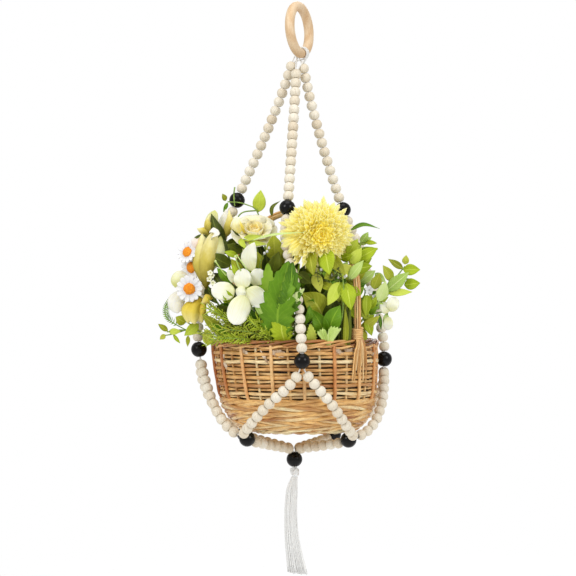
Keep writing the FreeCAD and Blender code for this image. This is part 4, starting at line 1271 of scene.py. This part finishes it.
def make_left_leaves():
    """Branches at the left, above the rose and over the rim."""
    mesh = Mesh()
    leaves(mesh, [
        ((-45.5, -36, -231), (-42.5, -38, -206), 15, "bright"),
        ((-82, -32, -218), (-86, -34, -210), 6.5, "olive"),
        ((-80, -32, -220), (-85, -34, -231), 4.5, "middle"),
        ((-104, -58, -259), (-117, -60, -260), 6, "dark"),
        ((-76, -62, -292), (-101, -68, -279), 16, "dark"),
        ((-68, -72, -281), (-83, -76, -276), 7.5, "bright"),
        ((-62, -74, -304), (-75, -80, -284), 12, "olive"),
        ((-78, -70, -310), (-91, -76, -294), 10, "middle"),
        ((-127, -50, -356), (-138, -52, -349), 12, "olive"),
        ((-112, -56, -357), (-128, -60, -370), 12, "bright"),
        ((-124, -52, -370), (-124.5, -54, -382.5), 5, "olive"),
        ((-147, -46, -365), (-158, -48, -357), 6.5, "olive"),
        ((-150, -46, -369), (-156, -46, -374.5), 6, "olive"),
        ((-146, -46, -366), (-132, -50, -365), 7.5, "bright"),
        ((-141, -46, -369), (-133, -48, -379), 4.5, "bright"),
        ((-102, -54, -363), (-102, -60, -381), 12, "olive"),
        ((-108, -52, -372), (-96, -58, -378), 9, "bright"),
        ((-90, -56, -262), (-78, -60, -280), 14, "dark"),
        ((-70, -50, -262), (-84, -58, -276), 12, "dark"),
        ((-96, -54, -300), (-84, -64, -318), 14, "dark"),
        ((-104, -52, -316), (-92, -62, -334), 12, "dark"),
        ((-60, -58, -268), (-72, -66, -270), 9, "dark"),
        ((-60, -70, -374), (-80, -80, -352), 16, "dark"),
        ((-46, -74, -376), (-58, -84, -350), 16, "dark"),
        ((-76, -66, -374), (-98, -74, -356), 15, "middle"),
        ((-44, -76, -360), (-60, -84, -336), 15, "middle"),
        ((-70, -68, -352), (-92, -76, -336), 15, "dark"),
        ((-30, -78, -378), (-42, -88, -356), 14, "dark"),
        ((-64, -52, -276), (-80, -60, -268), 14, "dark"),
        ((-58, -60, -284), (-70, -68, -290), 14, "dark"),
        ((-60, -56, -256), (-76, -62, -248), 12, "dark"),
        ((-84, -62, -366), (-108, -68, -346), 13, "olive")])
    for spine in [[(-24, -10, ROOT), (-34, -30, -300), (-44, -38, -236), (-60, -36, -222),
                   (-80, -32, -219)],
                  [(-72, -34, -202.5), (-73, -34, -212), (-72, -36, -224)],
                  [(-46, -38, -229), (-62, -40, -231), (-70, -40, -238), (-78, -42, -245)],
                  [(-56, -22, ROOT), (-104, -44, -372), (-128, -48, -364), (-148, -46, -366)],
                  [(-128, -48, -364), (-140, -46, -368), (-150, -46, -370)],
                  [(-104, -44, -372), (-118, -50, -360), (-127, -50, -354)]]:
        stem(mesh, spine, 0.9, STALK)
    for spot in [(-33, -84, -272), (-38, -82, -278), (-35, -84, -276)]:
        blob(mesh, spot, (1.5, 1.5, 1.6), EXTRA, 0.3, 6, 8)
    stem(mesh, [(-34, -80, -272), (-42, -82, -286), (-44, -80, -300)], 0.6, STALK, 8)
    blade(mesh, [(-38, -88, -330), (-33, -94, -342), (-29, -94, -353)], 5.5, FRONT, "lance",
          cup=0.6, slot=LIGHT_LEAF)
    mesh.make("left_leaf_spray", LEAF_SLOTS + [DAISY], "basket", ["left_branches"])


def make_ferns():
    """Curling asparagus fern at the front left, and a comb-like frond at the far left."""
    mesh = Mesh()
    mains = [[(-34, -70, -380), (-52, -92, -368), (-74, -98, -352), (-100, -88, -340)],
             [(-30, -72, -380), (-40, -94, -370), (-62, -102, -364), (-96, -92, -362)],
             [(-26, -74, -380), (-34, -96, -372), (-48, -104, -358), (-66, -102, -346)],
             [(-44, -70, -380), (-64, -90, -374), (-84, -94, -370), (-106, -82, -366)],
             [(-24, -76, -380), (-30, -98, -374), (-36, -104, -364), (-44, -104, -352)],
             [(-50, -68, -380), (-70, -84, -366), (-84, -88, -352), (-96, -84, -336)],
             [(-40, -72, -380), (-56, -96, -374), (-76, -100, -372), (-98, -88, -374)]]
    steps = 26
    for number, spine in enumerate(mains):
        line = smooth(spine, steps)
        tone = OLIVE_LEAF if number % 2 else BRIGHT_LEAF
        tube(mesh, line, 0.55, sides=6, slot=STALK)
        for i in range(4, steps + 1):
            for side in (1, -1):
                along = (line[min(i + 1, steps)] - line[i - 1]).normalized()
                out = (UP * side + along * 0.9 + jitter(0.5)).normalized()
                reach = rng.uniform(5, 9.5)
                bow = along * reach * 0.25 + jitter(1.2)
                mid = line[i] + out * reach * 0.55 + bow
                tip = mid + (out + along * 0.9 + jitter(0.5)).normalized() * reach * 0.5
                tube(mesh, smooth([line[i], mid, tip], 7), 0.5, sides=5, slot=tone)
                fork = mid + (out * 0.3 - along * 0.5 + jitter(0.5)).normalized() * reach * 0.35
                tube(mesh, smooth([line[i].lerp(mid, 0.6), fork], 3), 0.42, sides=5,
                     slot=BRIGHT_LEAF)
    comb = smooth([(-118, -50, -368), (-139, -50, -357), (-148.5, -52, -349), (-149.5, -52, -338),
                   (-144, -52, -329)], 22)
    tube(mesh, comb, 0.6, sides=6, slot=MIDDLE_LEAF)
    for i in range(5, 22):
        along = (comb[i + 1] - comb[i - 1]).normalized()
        inward = along.cross(FRONT)
        for side in (1, -1):
            tip = comb[i] + inward * (side * (5.5 if side > 0 else 3.0)) + along * 2.5
            blade(mesh, [comb[i], comb[i].lerp(tip, 0.5), tip], 1.3, FRONT, "lance", rows=4,
                  cols=1, slot=MIDDLE_LEAF)
    pivot = Vector((-10, 44, -400))
    back = smooth([pivot, (-14, 62, -350), (-12, 70, -310), (-8, 74, -298)], steps)
    for turn in (-30, 0, 30):
        spin = Matrix.Rotation(math.radians(turn), 3, FRONT)
        line = [pivot + spin @ (point - pivot) for point in back]
        tube(mesh, line, 0.8, sides=6, slot=MIDDLE_LEAF)
        for i in range(4, steps):
            for side in (1, -1):
                tip = line[i] + Vector((side * 11, 2, 6)) * (1.15 - i / 30)
                blade(mesh, [line[i], line[i].lerp(tip, 0.5) + UP, tip], 3.2, (0, 1, 0.2),
                      "lance", rows=6, cols=2, slot=MIDDLE_LEAF)
    mesh.make("fern_spray", LEAF_SLOTS, "basket", ["fern_fronds"])


def make_back_leaves():
    """The inner and rear foliage, which fills the space round the stems."""
    mesh = Mesh()
    core = Vector((-16, -14, -330))
    spread = Vector((72, 62, 66))
    total, upper = 300, 190
    lowest = -374
    painted_shade_tones = [MIDDLE_LEAF, DARK_AND_SHADE_SLOT, DARK_AND_SHADE_SLOT, OLIVE_LEAF]
    open_tones = [BRIGHT_LEAF, BRIGHT_LEAF, MIDDLE_LEAF, MIDDLE_LEAF, OLIVE_LEAF, LIGHT_LEAF]
    for k in range(total):
        angle = k * GOLDEN_ANGLE
        height = rng.uniform(-0.55, 1.0) if k < upper else rng.uniform(-0.75, -0.1)
        level = math.sqrt(max(0, 1 - height * height))
        way = Vector((math.cos(angle) * level, math.sin(angle) * level, height))
        depth = rng.uniform(0.45, 0.95) if k < upper else rng.uniform(0.75, 1.08)
        base = core + Vector((way.x * spread.x, way.y * spread.y, way.z * spread.z)) * depth
        base.z = max(base.z, lowest)
        reach = rng.uniform(17, 29)
        tip = base + (way * 0.75 + UP * 0.35 + jitter(0.35)).normalized() * reach
        if tip.x < -82 and abs(tip.y + 6) < 22:   # keep clear of the left strand
            continue
        # Inner leaves on the front side, behind the blooms, take darker tones as painted shade.
        tone = rng.choice(painted_shade_tones if way.y < -0.15 else open_tones)
        blade(mesh, [base, (base + tip) / 2 + way * 2.5, tip], reach * rng.uniform(0.42, 0.62),
              way, slot=tone, cup=0.25, rows=10)
        if k % 3 == 0:
            root = Vector((base.x * 0.45, -14 + (base.y + 14) * 0.45, -400))
            stem(mesh, [root, (root + base) / 2 + way * 5, base], 0.9, STALK, 10)
    leaves(mesh, [
        ((50, 44, -330), (62, 56, -292), 22, "bright"),
        ((40, 40, -322), (46, 56, -276), 20, "middle"),
        ((30, 50, -330), (28, 64, -290), 20, "middle"),
        ((-50, 56, -330), (-62, 68, -290), 20, "bright"),
        ((-40, 52, -320), (-46, 66, -276), 19, "middle"),
        ((-64, 40, -330), (-82, 50, -300), 17, "middle"),
        ((14, 30, -290), (26, 34, -244), 18, "middle"),
        ((2, 20, -280), (6, 26, -242), 16, "olive"),
        ((-70, 20, -340), (-92, 26, -316), 15, "bright"),
        ((56, 20, -330), (76, 26, -306), 14, "bright")],
        face=(0, 1, 0), ruffle=0.5, rows=14, cols=4)
    mesh.make("inner_foliage", LEAF_SLOTS, "basket", ["back_leaves"])


make_broad_leaves()
make_front_leaves()
make_left_leaves()
make_ferns()
make_back_leaves()

# ---------------------------------------------------------------- studio


FLOOR_Z = -0.72
AMBIENT = 0.62
# each softbox: place, size, power
SOFTBOXES = [((-1.5, -1.7, 0.7), 0.9, 21), ((1.6, -1.6, 0.5), 0.9, 16),
             ((0.0, -0.4, 1.6), 1.4, 12), ((0.3, 1.8, 0.5), 1.2, 12)]
AIM = Vector((0, 0, -0.32))


def make_world():
    """A surround that is white to the camera and dimmer as a light."""
    scene.view_settings.view_transform = "Standard"
    scene.world = bpy.data.worlds.new("studio")
    scene.world.use_nodes = True
    tree = scene.world.node_tree
    white = tree.nodes["Background"]
    dim = tree.nodes.new("ShaderNodeBackground")
    for background, strength in ((white, 1.0), (dim, AMBIENT)):
        background.inputs[0].default_value = (1, 1, 1, 1)
        background.inputs[1].default_value = strength
    path = tree.nodes.new("ShaderNodeLightPath")
    mix = tree.nodes.new("ShaderNodeMixShader")
    tree.links.new(path.outputs["Is Camera Ray"], mix.inputs[0])
    tree.links.new(dim.outputs[0], mix.inputs[1])
    tree.links.new(white.outputs[0], mix.inputs[2])
    tree.links.new(mix.outputs[0], tree.nodes["World Output"].inputs[0])


def make_floor():
    """A pale disc that fades out towards its edge."""
    disc = bpy.data.meshes.new("floor")
    sides = 96
    radii = [0.5, 1.0, 1.6]
    turns = [2 * math.pi * i / sides for i in range(sides)]
    points = [Vector((math.cos(turn) * r, math.sin(turn) * r, 0)) for r in radii for turn in turns]
    faces = [tuple(range(sides))]
    for band in range(len(radii) - 1):
        here, there = band * sides, (band + 1) * sides
        for i in range(sides):
            k = (i + 1) % sides
            faces.append((here + i, there + i, there + k, here + k))
    disc.from_pydata(points, [], faces)
    floor = bpy.data.objects.new("floor", disc)
    scene.collection.objects.link(floor)
    floor.location = (0, 0, FLOOR_Z)
    m = Material("pale_floor", Roughness=0.9)
    m.surface.inputs["Base Color"].default_value = (0.9, 0.9, 0.9, 1)
    length = m.add("ShaderNodeVectorMath", {"operation": "LENGTH"})
    m.put(length.inputs[0], m.place())
    fade = m.add("ShaderNodeMapRange", {"interpolation_type": "SMOOTHSTEP"},
                 Value=length.outputs[1], From_Min=0.15, From_Max=1.1)
    clear = m.add("ShaderNodeBsdfTransparent")
    blend = m.add("ShaderNodeMixShader")
    for socket, value in enumerate((fade, m.surface, clear)):
        m.put(blend.inputs[socket], value.outputs[0])
    m.put(m.tree.nodes["Material Output"].inputs[0], blend.outputs[0])
    disc.materials.append(m.data)


def make_lights():
    """Four soft lights that all point at the planter's middle."""
    for place, size, power in SOFTBOXES:
        light = bpy.data.lights.new("softbox", "AREA")
        light.size = size
        light.energy = power
        lamp = bpy.data.objects.new("softbox", light)
        scene.collection.objects.link(lamp)
        lamp.location = place
        lamp.rotation_euler = (AIM - Vector(place)).to_track_quat("-Z", "Y").to_euler()


make_world()
make_floor()
make_lights()
